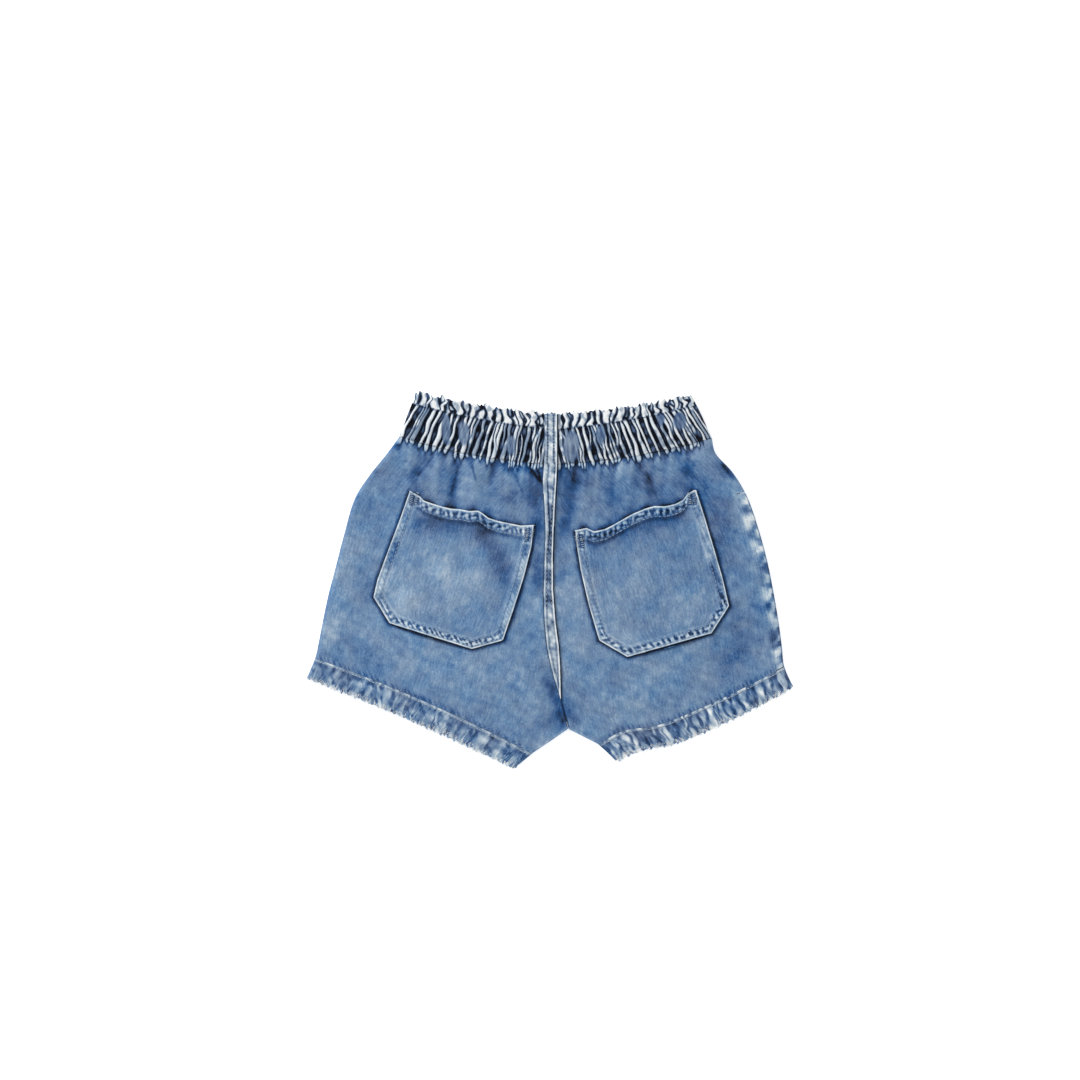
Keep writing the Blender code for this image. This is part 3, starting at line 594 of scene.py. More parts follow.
def section_line(leg, level, x):
    """The y at x of one of the sections' lines."""
    row = SECTIONS[leg][level]
    across = section_share(leg, level, x)
    line = mix(row.inner_y, row.outer_y, across) + arch(across, row.bow)
    return line + row.kick * bump(across - KICK_PLACE, KICK_SPREAD)


def waist_drop(leg, x, y):
    return section_line(leg, 0, x) - y


def hem_rise(leg, x, y):
    """Distance above the hem's seam."""
    return (y - section_line(leg, HEM_SEAM_LEVEL, x)) * HEM_SLANT


def segment_gap(x, y, start_x, start_y, end_x, end_y):
    """Distance to a straight piece."""
    run_x = end_x - start_x
    run_y = end_y - start_y
    share = ((x - start_x) * run_x + (y - start_y) * run_y) / (run_x ** 2 + run_y ** 2)
    share = np.clip(share, 0.0, 1.0)
    return np.hypot(x - start_x - run_x * share, y - start_y - run_y * share)


def soft_sum(x, y, table):
    """Sum of soft strokes."""
    total = np.zeros(np.broadcast(x, y).shape)
    for row in table:
        gap = segment_gap(x, y, row.start_x, row.start_y, row.end_x, row.end_y)
        total += row.amount * bump(gap, row.spread)
    return total


def back_height(leg, x, y):
    """Height of the back's outer face above the floor."""
    rise = WAIST_RISE * ease(1.0 - waist_drop(leg, x, y) / WAIST_RISE_REACH)
    puff = SIDE_PUFF * bump(side_inset(leg, x, y), SIDE_PUFF_REACH)
    creases = soft_sum(x, y, BACK_CREASES)
    wrinkles = 0.12 * WRINKLES(x, y) + 0.05 * SMALL_WRINKLES(x, y)
    lift = BACK_FLOAT + rise + puff + creases + wrinkles
    return BACK_LOWEST + np.maximum(lift, LEAST_FLOAT)


def line_distance(x, y, points):
    """Distance to a chain of straight pieces."""
    nearest = np.full(np.shape(x), np.inf)
    for start, end in zip(points, points[1:]):
        nearest = np.minimum(nearest, segment_gap(x, y, *start, *end))
    return nearest


# ---------------------------------------------------------------- gathers

def gather_lines(plan):
    """Each gather: middle, where it leans to, half width, strength, phase, speed and fork."""
    draw = np.random.default_rng(plan.seed)
    count = plan.count
    lines = []
    centres = (np.arange(count) + 0.5 + draw.uniform(-plan.jitter, plan.jitter, count)) / count
    for centre in centres:
        half = draw.uniform(plan.narrow, plan.wide) / count / 2.0
        lines.append((centre, centre, half, draw.uniform(0.72, 1.0), draw.uniform(0.0, 1.0),
                      draw.uniform(0.5, 1.3), None))
    for number in draw.choice(count - 1, plan.forks, replace=False):
        between = (centres[number] + centres[number + 1]) / 2.0
        toward = centres[number + draw.integers(0, 2)]
        half = draw.uniform(0.22, 0.38) / count / 2.0
        start = draw.uniform(0.35, 0.75)
        upward = draw.uniform() < 0.5
        lines.append((between, toward, half, draw.uniform(0.6, 0.9), draw.uniform(0.0, 1.0),
                      draw.uniform(0.5, 1.3), (start, upward)))
    return lines


def gather_field(plan, across, rise):
    """Gathers drawn over each other, from a share across and a rise that is negative below
    the first stitch line: height, pale ridges and dark lines as 0 to 1, and a kind that
    varies by gather."""
    height = np.zeros(np.shape(across))
    pale = np.zeros(np.shape(across))
    line = np.zeros(np.shape(across))
    kind = np.zeros(np.shape(across))
    for centre, toward, half, strength, phase, speed, fork in gather_lines(plan):
        present = 1.0
        middle = centre
        if fork is not None:
            start, upward = fork
            gone = ease((start - rise if upward else rise - start) / 0.35)
            present = 1.0 - gone
            middle = mix(centre, toward, 0.55 * gone)
        foot = 0.11 + 0.14 * phase
        beyond = np.clip(-rise / foot, 0.0, 1.0)
        tail = np.clip(-rise / (0.18 + 0.34 * phase), 0.0, 1.0)
        drawn = present * (1.0 - ease((tail - 0.35) / 0.65))
        run_out = drawn * ease((beyond - 0.80) / 0.20)
        present = present * (1.0 - ease((beyond - 0.50) / 0.50))
        wander = np.sin(2.0 * math.pi * (speed * rise + phase))
        wander = wander + 0.5 * np.sin(2.0 * math.pi * (2.3 * speed * rise + 1.7 * phase))
        swell = 1.0 + 0.24 * np.sin(2.0 * math.pi * (0.8 * speed * rise + 3.7 * phase))
        swell = swell * np.sqrt(np.maximum(1.0 - beyond ** 2, 0.04))
        away = across - middle - plan.lean * (rise - 0.5) - plan.wander / plan.count * wander
        place = np.abs(away) / (half * swell)
        # Pale ridges where the cloth wore, partly painted highlight; the ring round each is painted
        # shade in the gaps
        ridge = ease((1.08 - place) / 0.28) * present
        ring = np.minimum(1.35 * bump(place - 1.40, 0.47), 1.0) * drawn
        pale = np.maximum(pale * (1.0 - ring), ridge)
        line = np.maximum(line * (1.0 - ridge), ring)
        line = np.maximum(line, 0.85 * run_out * bump(away * plan.count, 0.24))
        kind = np.where(ridge > 0.5, phase, kind)
        round_top = np.sqrt(np.clip(1.0 - (place / 1.25) ** 2, 0.0, 1.0))
        height = np.maximum(height, round_top * strength * present)
    return height, pale, line, kind


# ---------------------------------------------------------------- meshes

def shell(name, outer, inner, uv, tone, keep=None, sharp=70.0):
    """Closed thin solid between two like grids of points, in millimetres."""
    rows, columns = outer.shape[:2]
    keep = np.ones((rows - 1, columns - 1), bool) if keep is None else keep
    index = np.arange(rows * columns).reshape(rows, columns)
    corners = (index[:-1, :-1], index[1:, :-1], index[1:, 1:], index[:-1, 1:])
    cells = np.stack(corners, -1)[keep]
    shift = rows * columns
    faces = [cells, cells[:, ::-1] + shift]
    padded = np.pad(keep, 1)
    neighbours = (padded[1:-1, :-2], padded[2:, 1:-1], padded[1:-1, 2:], padded[:-2, 1:-1])
    for side, neighbour in enumerate(neighbours):
        border = keep & ~neighbour
        start = corners[side][border]
        end = corners[(side + 1) % 4][border]
        faces.append(np.stack([end, start, start + shift, end + shift], -1))
    faces = np.concatenate(faces)
    points = np.concatenate([outer.reshape(-1, 3), inner.reshape(-1, 3)]) * MM
    tones = np.concatenate([np.clip(tone, 0.0, 1.0).ravel(), np.full(shift, LINING_TONE)])
    maps = np.concatenate([uv.reshape(-1, 2)] * 2) * MM
    used, faces = np.unique(faces, return_inverse=True)
    faces = faces.reshape(-1, 4)
    points = points[used]
    a, b, c = (points[faces[:, corner]] for corner in (0, 1, 2))
    d = points[faces[:, 3]]
    volume = np.einsum("ij,ij->i", a, np.cross(b, c) + np.cross(c, d)).sum()
    if volume < 0.0:
        faces = faces[:, ::-1]
    return mesh_object(name, points, faces, tones[used], maps[used], sharp)


def mesh_object(name, points, faces, tones, maps, sharp):
    data = bpy.data.meshes.new(name)
    data.from_pydata(points.tolist(), [], faces.tolist())
    layer = data.attributes.new("tone", "FLOAT", "POINT")
    layer.data.foreach_set("value", tones.astype(np.float32))
    layer = data.uv_layers.new(name="cloth")
    layer.data.foreach_set("uv", maps[faces.ravel()].astype(np.float32).ravel())
    data.shade_smooth()
    data.set_sharp_from_angle(angle=math.radians(sharp))
    data.update()
    made = bpy.data.objects.new(f"{name}_shell", data)
    bpy.context.scene.collection.objects.link(made)
    return made


def dress(piece, node, finish):
    """Give a shell its finish and its body, and hide the solid that it stands for."""
    piece.data.materials.append(finish_named(finish))
    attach(piece, BODY)
    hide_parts(node)


def tube_grid(leg, level, girth):
    """Outer and lining points of the tube of cloth."""
    width = leg_width(leg, level)
    turn = np.minimum(np.abs(girth) / FOLD_QUARTER, 1.0) * math.pi / 2.0
    inset = FOLD_DEPTH * (1.0 - np.cos(turn)) + np.maximum(np.abs(girth) - FOLD_QUARTER, 0.0)
    flat_x, flat_y = leg_point(leg, level, 1.0 - np.maximum(inset, FOLD_DEPTH) / width)
    top = back_height(leg, flat_x, flat_y)
    side = np.where(girth < 0, -1.0, 1.0)
    x, y = leg_point(leg, level, 1.0 - inset / width)
    lining_x, lining_y = leg_point(leg, level, 1.0 - (inset + WALL * np.cos(turn)) / width)
    z = top / 2.0 * (1.0 + side * np.sin(turn))
    outer = np.stack([x, y, z], -1)
    inner = np.stack([lining_x, lining_y, z - side * WALL * np.sin(turn)], -1)
    return outer, inner


def centre_girth(leg, level):
    return FOLD_QUARTER + leg_width(leg, level) - FOLD_DEPTH - SEAM_GAP / 2.0


def mouth_girth(leg, level):
    """Line of the slash pocket's mouth on the front."""
    side = SIDE_SEAM_GIRTH[LEFT] - SIDE_SEAM_GAP if leg == LEFT else -FOLD_QUARTER
    return side - MOUTH_REACH * (1.0 - np.minimum(level / MOUTH_LEVEL, 1.0))


def grid(levels, starts, ends, steps):
    """Level and girth grids, each row running from a start to an end."""
    share = np.linspace(0.0, 1.0, steps + 1)
    girth = mix(starts[:, None], ends[:, None], share[None, :])
    return np.repeat(levels[:, None], steps + 1, axis=1), girth


def band_feet(side, leg, x, drop):
    """The gathers where they run out in the cloth below the waist seam."""
    return gather_field(CASING_PLANS[side, leg], section_share(leg, 0, x), -drop / CASING_DEPTH)


def pocket_shadow(leg, x, y):
    """Dark line on the cloth round a pocket, deeper above its open mouth."""
    gap = line_distance(x, y, pocket_outline(leg))
    rise = y - mouth_line(leg, x)
    ends = POCKET_MOUTHS[leg]
    inside = ease((x - ends[0][0]) / 6.0) * ease((ends[-1][0] - x) / 6.0)
    mouth = 0.42 * np.exp(-np.maximum(rise, 0.0) / 2.4) * inside * (rise > -2.0)
    return np.maximum(0.30 * bump(gap, 1.6), mouth * (1.0 + 0.35 * MOUTH_DEPTHS(x)))


def panel_tone(x, y, top):
    shades = BACK_SHADES if top else FRONT_SHADES
    tone = BODY_TONE + soft_sum(x, y, shades) * (1.0 + 0.25 * WRINKLES(x, y))
    tone = tone + 0.018 * PATCHES(x + 50.0, y)
    # Painted shade in the creases' troughs and dents, and painted highlight on their ridges
    creases = soft_sum(x, y, BACK_CREASES if top else FRONT_CREASES)
    return tone + (0.035 if top else -0.05) * creases


def side_wear_and_shade(leg, girth, y):
    """Painted shade in a dark line along the side fold; worn pale patches beside the right one."""
    wear_and_shade = -0.16 * bump(girth, 2.4)
    if leg == RIGHT:
        patches = ease(0.5 + 1.1 * (SIDE_PATCHES(y + 0.8 * girth) + 0.6 * PATCHES(girth, y)))
        reach = 3.6 + 1.6 * PATCHES(girth + 70.0, y)
        below_hip = ease((88.0 - y) / 8.0)
        below_band = ease((100.0 - y) / 5.0)
        wear_and_shade = wear_and_shade + 0.34 * patches * bump(girth - 3.5, reach) * below_hip
        wear_and_shade = wear_and_shade - 0.12 * (1.0 - patches) * bump(girth - 4.0, 4.0) * below_hip
        wear_and_shade = wear_and_shade + 0.30 * bump(girth - 3.0, 1.1) * below_band * ease((y - 10.0) / 20.0)
        wear_and_shade = wear_and_shade - 0.55 * bump(girth - 0.4, 1.7) * below_band
    return wear_and_shade


def make_back_panel(leg):
    levels = np.concatenate([np.linspace(0.0, 1.0, BACK_TOP_ROWS + 1)[:-1],
                             np.linspace(1.0, PANEL_END, BACK_ROWS + 1)])
    level, girth = grid(levels, centre_girth(leg, levels),
                        np.full(len(levels), SIDE_SEAM_GIRTH[leg]), int(BACK_WIDTH / BACK_STEP))
    outer, inner = tube_grid(leg, level, girth)
    x, y = outer[..., 0], outer[..., 1]
    above = ease(girth / FOLD_QUARTER)
    drop = np.maximum(waist_drop(leg, x, y), 0.0)
    waves, pale, line, kind = band_feet("back", leg, x, drop)
    lift = 1.1 * (waves - 0.5 * (drop < 9.0)) * bump(drop, 8.0) * above
    fan = 130.0 * section_share(leg, 0, x) + 0.10 * OUTWARD[leg] * drop
    runs = 0.045 * RUNS(fan) * np.exp(-drop / 22.0) + 0.030 * LONG_RUNS(fan) * np.exp(-drop / 60.0)
    lift = lift + 5.0 * runs * above
    outer[..., 2] += lift
    inner[..., 2] += lift
    # The runs' tone is painted shade in their troughs and painted highlight on their ridges
    tone = mix(panel_tone(x, y, False), panel_tone(x, y, True) + runs, above)
    # Painted shade below the waist seam and in the dark lines round the gathers' feet; the pale
    # feet are worn and partly painted highlight
    hollow = bump(drop, np.maximum(3.0 + 45.0 * (0.03 - runs), 1.5))
    tone = mix(tone, 0.06, 0.75 * hollow * (1.0 - pale) * above)
    tone = mix(tone, 0.0, 0.95 * line * above)
    tone = mix(tone, mix(0.74, 0.84, kind) - 0.022 * drop, pale * above)
    tone = tone - pocket_shadow(leg, x, y) * above
    tone = tone + side_wear_and_shade(leg, girth, y)
    # Painted shade in hatched dashes along the crease just above the hem
    hem = hem_rise(leg, x, y)
    hatch = 0.5 + 0.5 * np.tanh(1.6 * HEM_HATCH(x + 0.4 * y))
    tone -= 0.22 * hatch * bump(hem - 1.5, 2.2) * above
    inner_end = centre_girth(leg, level) - girth
    below_fork = ease((level - 7.2) / 0.4)
    tone += 0.10 * below_fork * bump(inner_end - 1.0, 1.4) * above
    return shell(f"back_{leg}_panel", outer, inner, np.stack([girth, -y], -1), tone)


def press_dents(outer, inner, girth):
    """Press shallow dents up into the cloth that lies on the floor."""
    x, y = outer[..., 0], outer[..., 1]
    flat = ease((-girth - FOLD_QUARTER - 4.0) / 8.0)
    dents = np.maximum(soft_sum(x, y, FRONT_CREASES), 0.0)
    dents = np.minimum(dents + 0.06 * (1.0 + np.clip(SMALL_WRINKLES(x, y), -1.0, 2.0)), 0.7) * flat
    outer[..., 2] += dents
    inner[..., 2] += dents * 0.6


def make_front_panel(leg):
    rows = int(FRONT_LENGTH / FRONT_STEP)
    levels = np.linspace(FRONT_STAGGER, PANEL_END - FRONT_STAGGER, rows + 1)
    mouth = mouth_girth(leg, levels)
    fork_y = SECTIONS[leg][CROTCH_LEVEL].inner_y
    y = leg_ends(leg, levels)[1]
    room = (front_seam_half(y) + 0.7) * ease((CROTCH_LEVEL - levels) / 0.3)
    ends = -centre_girth(leg, levels) + np.where(y > fork_y, room, 0.0)
    level, girth = grid(levels, mouth, ends, int(FRONT_WIDTH / FRONT_STEP))
    keep = None
    if leg == RIGHT:
        wrap = np.linspace(SIDE_SEAM_GIRTH[RIGHT] - SIDE_SEAM_GAP, -FOLD_QUARTER,
                           SIDE_WRAP_COLUMNS + 1)[:-1]
        girth = np.concatenate([np.repeat(wrap[None, :], rows + 1, 0), girth], axis=1)
        level = np.repeat(levels[:, None], girth.shape[1], axis=1)
        first = int(np.argmax(levels >= MOUTH_LEVEL))
        keep = np.ones((rows, girth.shape[1] - 1), bool)
        keep[:first, :len(wrap)] = False
    outer, inner = tube_grid(leg, level, girth)
    press_dents(outer, inner, girth)
    x, y = outer[..., 0], outer[..., 1]
    above = ease(girth / FOLD_QUARTER + 0.5)
    tone = mix(panel_tone(x, y, False), panel_tone(x, y, True), above)
    tone = tone + side_wear_and_shade(leg, girth, y) * above
    mouth_gap = mouth_girth(leg, level) - girth
    in_mouth = ease((MOUTH_LEVEL - level) / 0.3)
    tone += in_mouth * (0.30 * bump(mouth_gap - 1.2, 1.6) - 0.14 * bump(mouth_gap - 7.0, 2.4))
    drop = np.maximum(waist_drop(leg, x, y), 0.0)
    _, pale, line, _ = band_feet("front", leg, x, drop)
    # Painted shade in the dark lines round the gathers' feet; the pale feet are worn and partly
    # painted highlight
    tone = mix(tone, 0.06, 0.9 * line * (1.0 - above))
    tone = mix(tone, 0.78 - 0.022 * drop, pale * (1.0 - above))
    return shell(f"front_{leg}_panel", outer, inner, np.stack([girth, -y], -1), tone, keep)


def make_hip_facing(leg):
    levels = np.linspace(0.0, MOUTH_LEVEL - FACING_FOOT[leg], FACING_ROWS + 1)
    mouth = mouth_girth(leg, levels) + SEAM_GAP
    start = np.full(len(levels), SIDE_SEAM_GIRTH[leg] - SIDE_SEAM_GAP)
    level, girth = grid(levels, start, mouth, FACING_COLUMNS)
    outer, inner = tube_grid(leg, level, girth)
    x, y = outer[..., 0], outer[..., 1]
    above = ease(girth / FOLD_QUARTER + 0.5)
    # Painted shade on the facing's lower side and, deeper, next to the pocket's mouth
    tone = mix(panel_tone(x, y, False) - 0.06, panel_tone(x, y, True), above)
    tone -= 0.20 * bump(girth - mouth_girth(leg, level), 3.0)
    return shell(f"hip_facing_{leg}", outer, inner, np.stack([girth, -y], -1), tone)


# ---------------------------------------------------------------- waistband and hems

def end_round(distance, depth):
    share = np.clip(distance / depth, 0.0, 1.0)
    return np.sqrt(1.0 - (1.0 - share) ** 2)


def wall_height(side, surface, inside, rounding, least):
    """Height of an outer face over its inner one, rounded off and never thinner than least."""
    thick = (surface - inside) * rounding
    return np.where(np.abs(thick) > least, thick, -least if side == "front" else least)


def band_place(leg, row, across):
    """Place on half of the waistband: row runs through BAND_ROWS."""
    side_x = smooth(column(BAND_ROWS, f"{leg}_x"), row)
    side_y = smooth(column(BAND_ROWS, f"{leg}_y"), row)
    start = CENTRE_X + OUTWARD[leg] * SEAM_GAP / 2.0
    x = mix(start, side_x, across)
    y = mix(smooth(column(BAND_ROWS, "centre_y"), row), side_y, across)
    y = y + arch(across, smooth(column(BAND_ROWS, "bow"), row))
    return x, y, np.abs(side_x - x), np.abs(x - start)


def band_surface(side, leg, across, row):
    """Points of the gathered outer face and their tone."""
    rise = row / CASING_TOP_ROW
    casing = gather_field(CASING_PLANS[side, leg], across, np.maximum(rise, 0.0))
    ruffle = gather_field(RUFFLE_PLANS[side, leg], across, rise)
    up = ease((rise - 0.98) / 0.10)
    wave, pale, line, kind = (mix(low, high, up) for low, high in zip(casing, ruffle))
    x, y, from_side, from_centre = band_place(leg, row, across)
    patch = np.zeros(np.shape(x))
    patch_tone = np.full(np.shape(x), 0.42)
    if side == "back":
        for spot in BAND_PATCHES:
            here = np.hypot((x - spot.x) / spot.reach_x, (y - spot.y) / spot.reach_y)
            here = 1.0 - ease((here - 0.75) / 0.4)
            patch_tone = np.where(here > patch, spot.tone, patch_tone)
            patch = np.maximum(patch, here)
    patch = patch * (1.0 - up)
    wave = mix(wave, 0.62, patch)
    ridge = smooth(column(BAND_ROWS, f"{side}_ridge"), row)
    trough = smooth(column(BAND_ROWS, f"{side}_trough"), row)
    calm = ease((from_centre - 5.0) / 4.0)
    inside = BAND_INSIDE[side]
    waved = mix(trough - BAND_SINK[side] * calm, ridge, wave * calm)
    thick = wall_height(side, waved, inside, end_round(from_side, BAND_END_ROUND), BAND_END_WALL)
    free = ease((row - 4.0) / 1.0)
    y = y + free * (0.35 * (wave - 0.6) + 0.7 * RUFFLE_EDGE(x) + 0.8 * RUFFLE_WAVE(x))
    # Between the gathers the cloth is dark with painted shade of varied depth; in the ruffle, the
    # dark blots in its gaps and its darker foot are painted shade too
    between = mix(0.0, 0.34, ease(0.33 + 0.6 * BAND_FILL(x, y)))
    between = mix(between, patch_tone + 0.05 * RUFFLE_FILL(x * 2.0, y * 0.6), patch)
    blots = ease((RUFFLE_GAPS(x, y) + 0.05) / 0.4)
    between = mix(between, mix(0.86, 0.08, blots) - 0.30 * (1.0 - ease((row - 3.0) / 0.6)), up)
    fill = mix(0.50, 0.82, ease((kind + 0.12 * BAND_FILL(x, y) - 0.12) / 0.16))
    fill = mix(fill, mix(0.60, 0.92, ease(0.9 + 0.7 * RUFFLE_FILL(x, y))), up)
    # The gathers' dark lines are painted shade; their pale ridges are worn and partly painted
    # highlight
    tone = mix(between, 0.0, line * (1.0 - 0.8 * patch) * (1.0 - 0.08 * up - 0.20 * free))
    tone = mix(tone, fill + 0.06, pale * (1.0 - 0.9 * patch))
    # Painted shade in the grooves pinched along both stitch lines
    stitched = 0.7 * bump(row, 0.09) + bump(row - CASING_TOP_ROW, 0.09)
    tone = tone - 0.34 * stitched * (1.0 - 0.6 * pale)
    tone = tone + 0.10 * bump(row - 5.0, 0.20) * (1.0 - line)
    points = np.stack([x, y, inside + thick], -1)
    return points, tone, inside, thick


def make_band(side, leg):
    lowest = 0.0 if side == "back" else -FRONT_STAGGER
    across, row = np.meshgrid(
        np.linspace(0.0, 1.0, int(BAND_WIDTH / BAND_STEP[side]) + 1),
        np.linspace(lowest, RUFFLE_TOP_ROW, BAND_ROW_COUNT[side] + 1))
    outer, tone, inside, thick = band_surface(side, leg, across, row)
    inner = outer.copy()
    wall = np.minimum(RUFFLE_WALL, np.abs(thick))
    ruffle = ease((row - 3.0) / 0.5)
    lowered = inside + thick - np.copysign(wall, thick)
    inner[..., 2] = mix(np.full(np.shape(row), inside), lowered, ruffle)
    uv = np.stack([across * 190.0, row * 9.0], -1)
    return shell(f"waistband_{side}_{leg}", outer, inner, uv, tone)


def hem_surface(side, leg, across, share):
    """Points of a hem's outer face and their tone: share is 0 at the stitching."""
    waves, ridge_pale, line, kind = gather_field(HEM_PLANS[side, leg], across, share)
    start = HEM_START if side == "back" else HEM_START - FRONT_STAGGER
    level = mix(start, EDGE_LEVEL, share)
    x, y = leg_point(leg, level, across)
    width = leg_width(leg, level)
    ridge = smooth(column(HEM_ROWS, f"{side}_ridge"), share * 2.0)
    trough = smooth(column(HEM_ROWS, f"{side}_trough"), share * 2.0)
    inside = HEM_INSIDE[side]
    waved = mix(trough, ridge, waves)
    from_end = np.minimum(across, 1.0 - across) * width
    thick = wall_height(side, waved, inside, end_round(from_end, HEM_END_ROUND), HEM_END_WALL)
    free = ease((share - 0.6) / 0.4)
    y = y + free * (0.6 * HEM_EDGE(x) - 0.8 * (waves - 0.6))
    varied = kind + 0.25 * PATCHES(x, y)
    pale = mix(*HEM_PALE[leg], varied)
    tone = mix(mix(0.36, 0.50, ease(0.5 + PATCHES(x + 9.0, y))), pale, ridge_pale)
    # The dark lines between the puckers are painted shade
    tone = np.maximum(tone - HEM_DARK[leg] * line, 0.22)
    tone = tone + 0.04 * HEM_PATCHES(across * width)
    slanted = across * width + (7.0 + 2.0 * HEM_PATCHES(across * width)) * share
    threads = ease((HEM_THREADS(slanted) - 1.15) / 0.35) * ease((share - 0.15 - 0.25 * kind) / 0.25)
    tone = mix(tone, 0.86, 0.65 * threads)
    frayed = ease(0.5 + 0.6 * HEM_EDGE(x + 30.0))
    tone = tone + 0.16 * bump(share - 0.02, 0.07) + 0.30 * frayed * bump(share - 1.0, 0.16)
    # Painted shade in the hollow just below the stitching
    tone = tone - 0.07 * bump(share - 0.20, 0.08)
    points = np.stack([x, y, inside + thick], -1)
    return points, tone, inside


def make_hem(side, leg):
    length = HEM_LENGTH[leg]
    across, share = np.meshgrid(np.linspace(0.0, 1.0, int(length / HEM_STEP[side]) + 1),
                                np.linspace(0.0, 1.0, HEM_ROW_COUNT[side] + 1))
    outer, tone, inside = hem_surface(side, leg, across, share)
    inner = outer.copy()
    inner[..., 2] = inside
    uv = np.stack([across * length, share * 17.0], -1)
    return shell(f"hem_{side}_{leg}", outer, inner, uv, tone)


# ---------------------------------------------------------------- seams and pockets

def front_seam_half(y):
    waist = SECTIONS[LEFT][0].inner_y
    fork = SECTIONS[LEFT][CROTCH_LEVEL].inner_y
    share = np.minimum((y - fork) / (waist - fork), 1.0)
    half = (5.0 + 6.5 * share) / 2.0
    return np.clip(np.minimum(half, 0.16 * (y - fork)), 0.0, None)


def panel_join(y):
    """Line where the two back panels meet under the felled seam."""
    table = SECTIONS[LEFT][:CROTCH_LEVEL + 1][::-1]
    return np.interp(y, column(table, "inner_y"), column(table, "inner_x"))


def seam_bed(x, y):
    """Highest cloth under the felled seam."""
    heights = column(BAND_ROWS, "back_trough")
    band = np.interp(y, column(BAND_ROWS, "centre_y"), heights)
    cloth = np.maximum(back_height(LEFT, x, y), back_height(RIGHT, x, y))
    waist = BAND_ROWS[0].centre_y
    share = ease((y - waist + 3.0) / 5.0)
    return mix(cloth, band, share)


def back_seam_edges(ys):
    return (np.interp(-ys, -column(BACK_SEAM, "y"), column(BACK_SEAM, name))
            for name in ("left", "right"))


def make_centre_back_seam():
    ys = np.linspace(BACK_SEAM[0].y, BACK_SEAM[-1].y, BACK_SEAM_ROWS)
    left, right = back_seam_edges(ys)
    share = np.linspace(0.0, 1.0, BACK_SEAM_COLUMNS)
    x = mix(left[:, None], right[:, None], share[None, :])
    y = np.repeat(ys[:, None], len(share), axis=1)
    from_left = x - left[:, None]
    from_right = right[:, None] - x
    bed = seam_bed(x, y)
    bed = np.maximum(bed, bed.max(axis=1, keepdims=True) - 0.25) + BACK_SEAM_CLEAR
    edge = np.minimum(from_left, from_right)
    crown = SEAM_RAISE * ease(edge / 1.4) + 0.28 * bump(edge - 1.3, 0.8)
    crown = crown + 0.10 * SMALL_WRINKLES(x * 3.0, y * 1.6)
    outer = np.stack([x, y, bed + SEAM_WALL + crown], -1)
    inner = np.stack([x, y, bed], -1)
    patchy = BACK_SEAM_WEAR(y)
    banded = ease((y - BAND_FOOT) / 4.0)
    high = ease((y - 22.0) / 30.0)
    worn = (1.0 - banded) * np.maximum(ease((y - 56.0) / 20.0), 0.75 * ease((-12.0 - y) / 25.0))
    tone = 0.45 + 0.07 * patchy + 0.29 * banded + 0.26 * worn + 0.09 * PATCHES(x * 1.5, y * 1.5)
    left_line = bump(from_left - mix(1.5, 1.7, high), mix(0.6, 1.3, high))
    tone = mix(tone, 0.76 + 0.06 * patchy, (1.0 - banded) * left_line)
    # Painted shade in the groove beside the left stitch row
    left_groove = mix(0.26, 0.50, high) * bump(from_left - mix(2.9, 4.2, high), 0.65)
    tone = tone - (1.0 - banded) * left_groove
    dashed = 0.6 + 0.4 * np.sin(2.0 * math.pi * y / 2.9)
    stitched = np.maximum(bump(from_left - 2.7, 0.8), bump(from_right - 4.0, 0.8))
    tone = mix(tone, 0.04, banded * dashed * stitched)
    # Painted shade along the seam's left edge, under the waistband
    tone = tone - 0.25 * banded * bump(from_left - 0.8, 0.5)
    # Painted shade in the groove beside the right stitch row
    tone = tone - mix(0.28, 0.50, high) * (1.0 - banded) * bump(from_right - 3.1, 0.6)
    tone = mix(tone, 0.93, bump(from_right - 1.6, 0.6))
    # Painted shadow along the seam's right edge and painted shade along its left edge
    tone = np.where(from_right < 1.0, DARKEST, tone)
    tone = np.where(from_left < 0.45, 0.08, tone)
    return shell("centre_back_seam", outer, inner, np.stack([x, -y], -1), tone)


def make_centre_front_seam():
    top = SECTIONS[LEFT][0].inner_y - SEAM_GAP
    bottom = SECTIONS[LEFT][CROTCH_LEVEL].inner_y + 6.0
    ys = np.linspace(top, bottom, FRONT_SEAM_ROWS)
    half = front_seam_half(ys)[:, None]
    share = np.linspace(-1.0, 1.0, FRONT_SEAM_COLUMNS)[None, :]
    x = panel_join(ys)[:, None] + half * share
    y = np.repeat(ys[:, None], share.shape[1], axis=1)
    edge = (1.0 - np.abs(share)) * half
    outer = np.stack([x, y, FRONT_THREAD_HEIGHT * (1.0 - ease(edge / 1.2))], -1)
    inner = np.stack([x, y, np.full(x.shape, WALL)], -1)
    tone = 0.56 + 0.24 * bump(edge - 0.8, 0.9) + 0.05 * FRONT_SEAM_WEAR(y)
    return shell("centre_front_seam", outer, inner, np.stack([x, -y], -1), tone)


def pocket_outline(leg):
    """Sides and bottom of a pocket, from one mouth corner round to the other."""
    table = POCKETS[leg]
    left = [(row.left_x, row.left_y) for row in table]
    right = [(row.right_x, row.right_y) for row in reversed(table)]
    return left + right


def mouth_line(leg, x):
    points = np.array(POCKET_MOUTHS[leg])
    return np.interp(x, points[:, 0], points[:, 1])


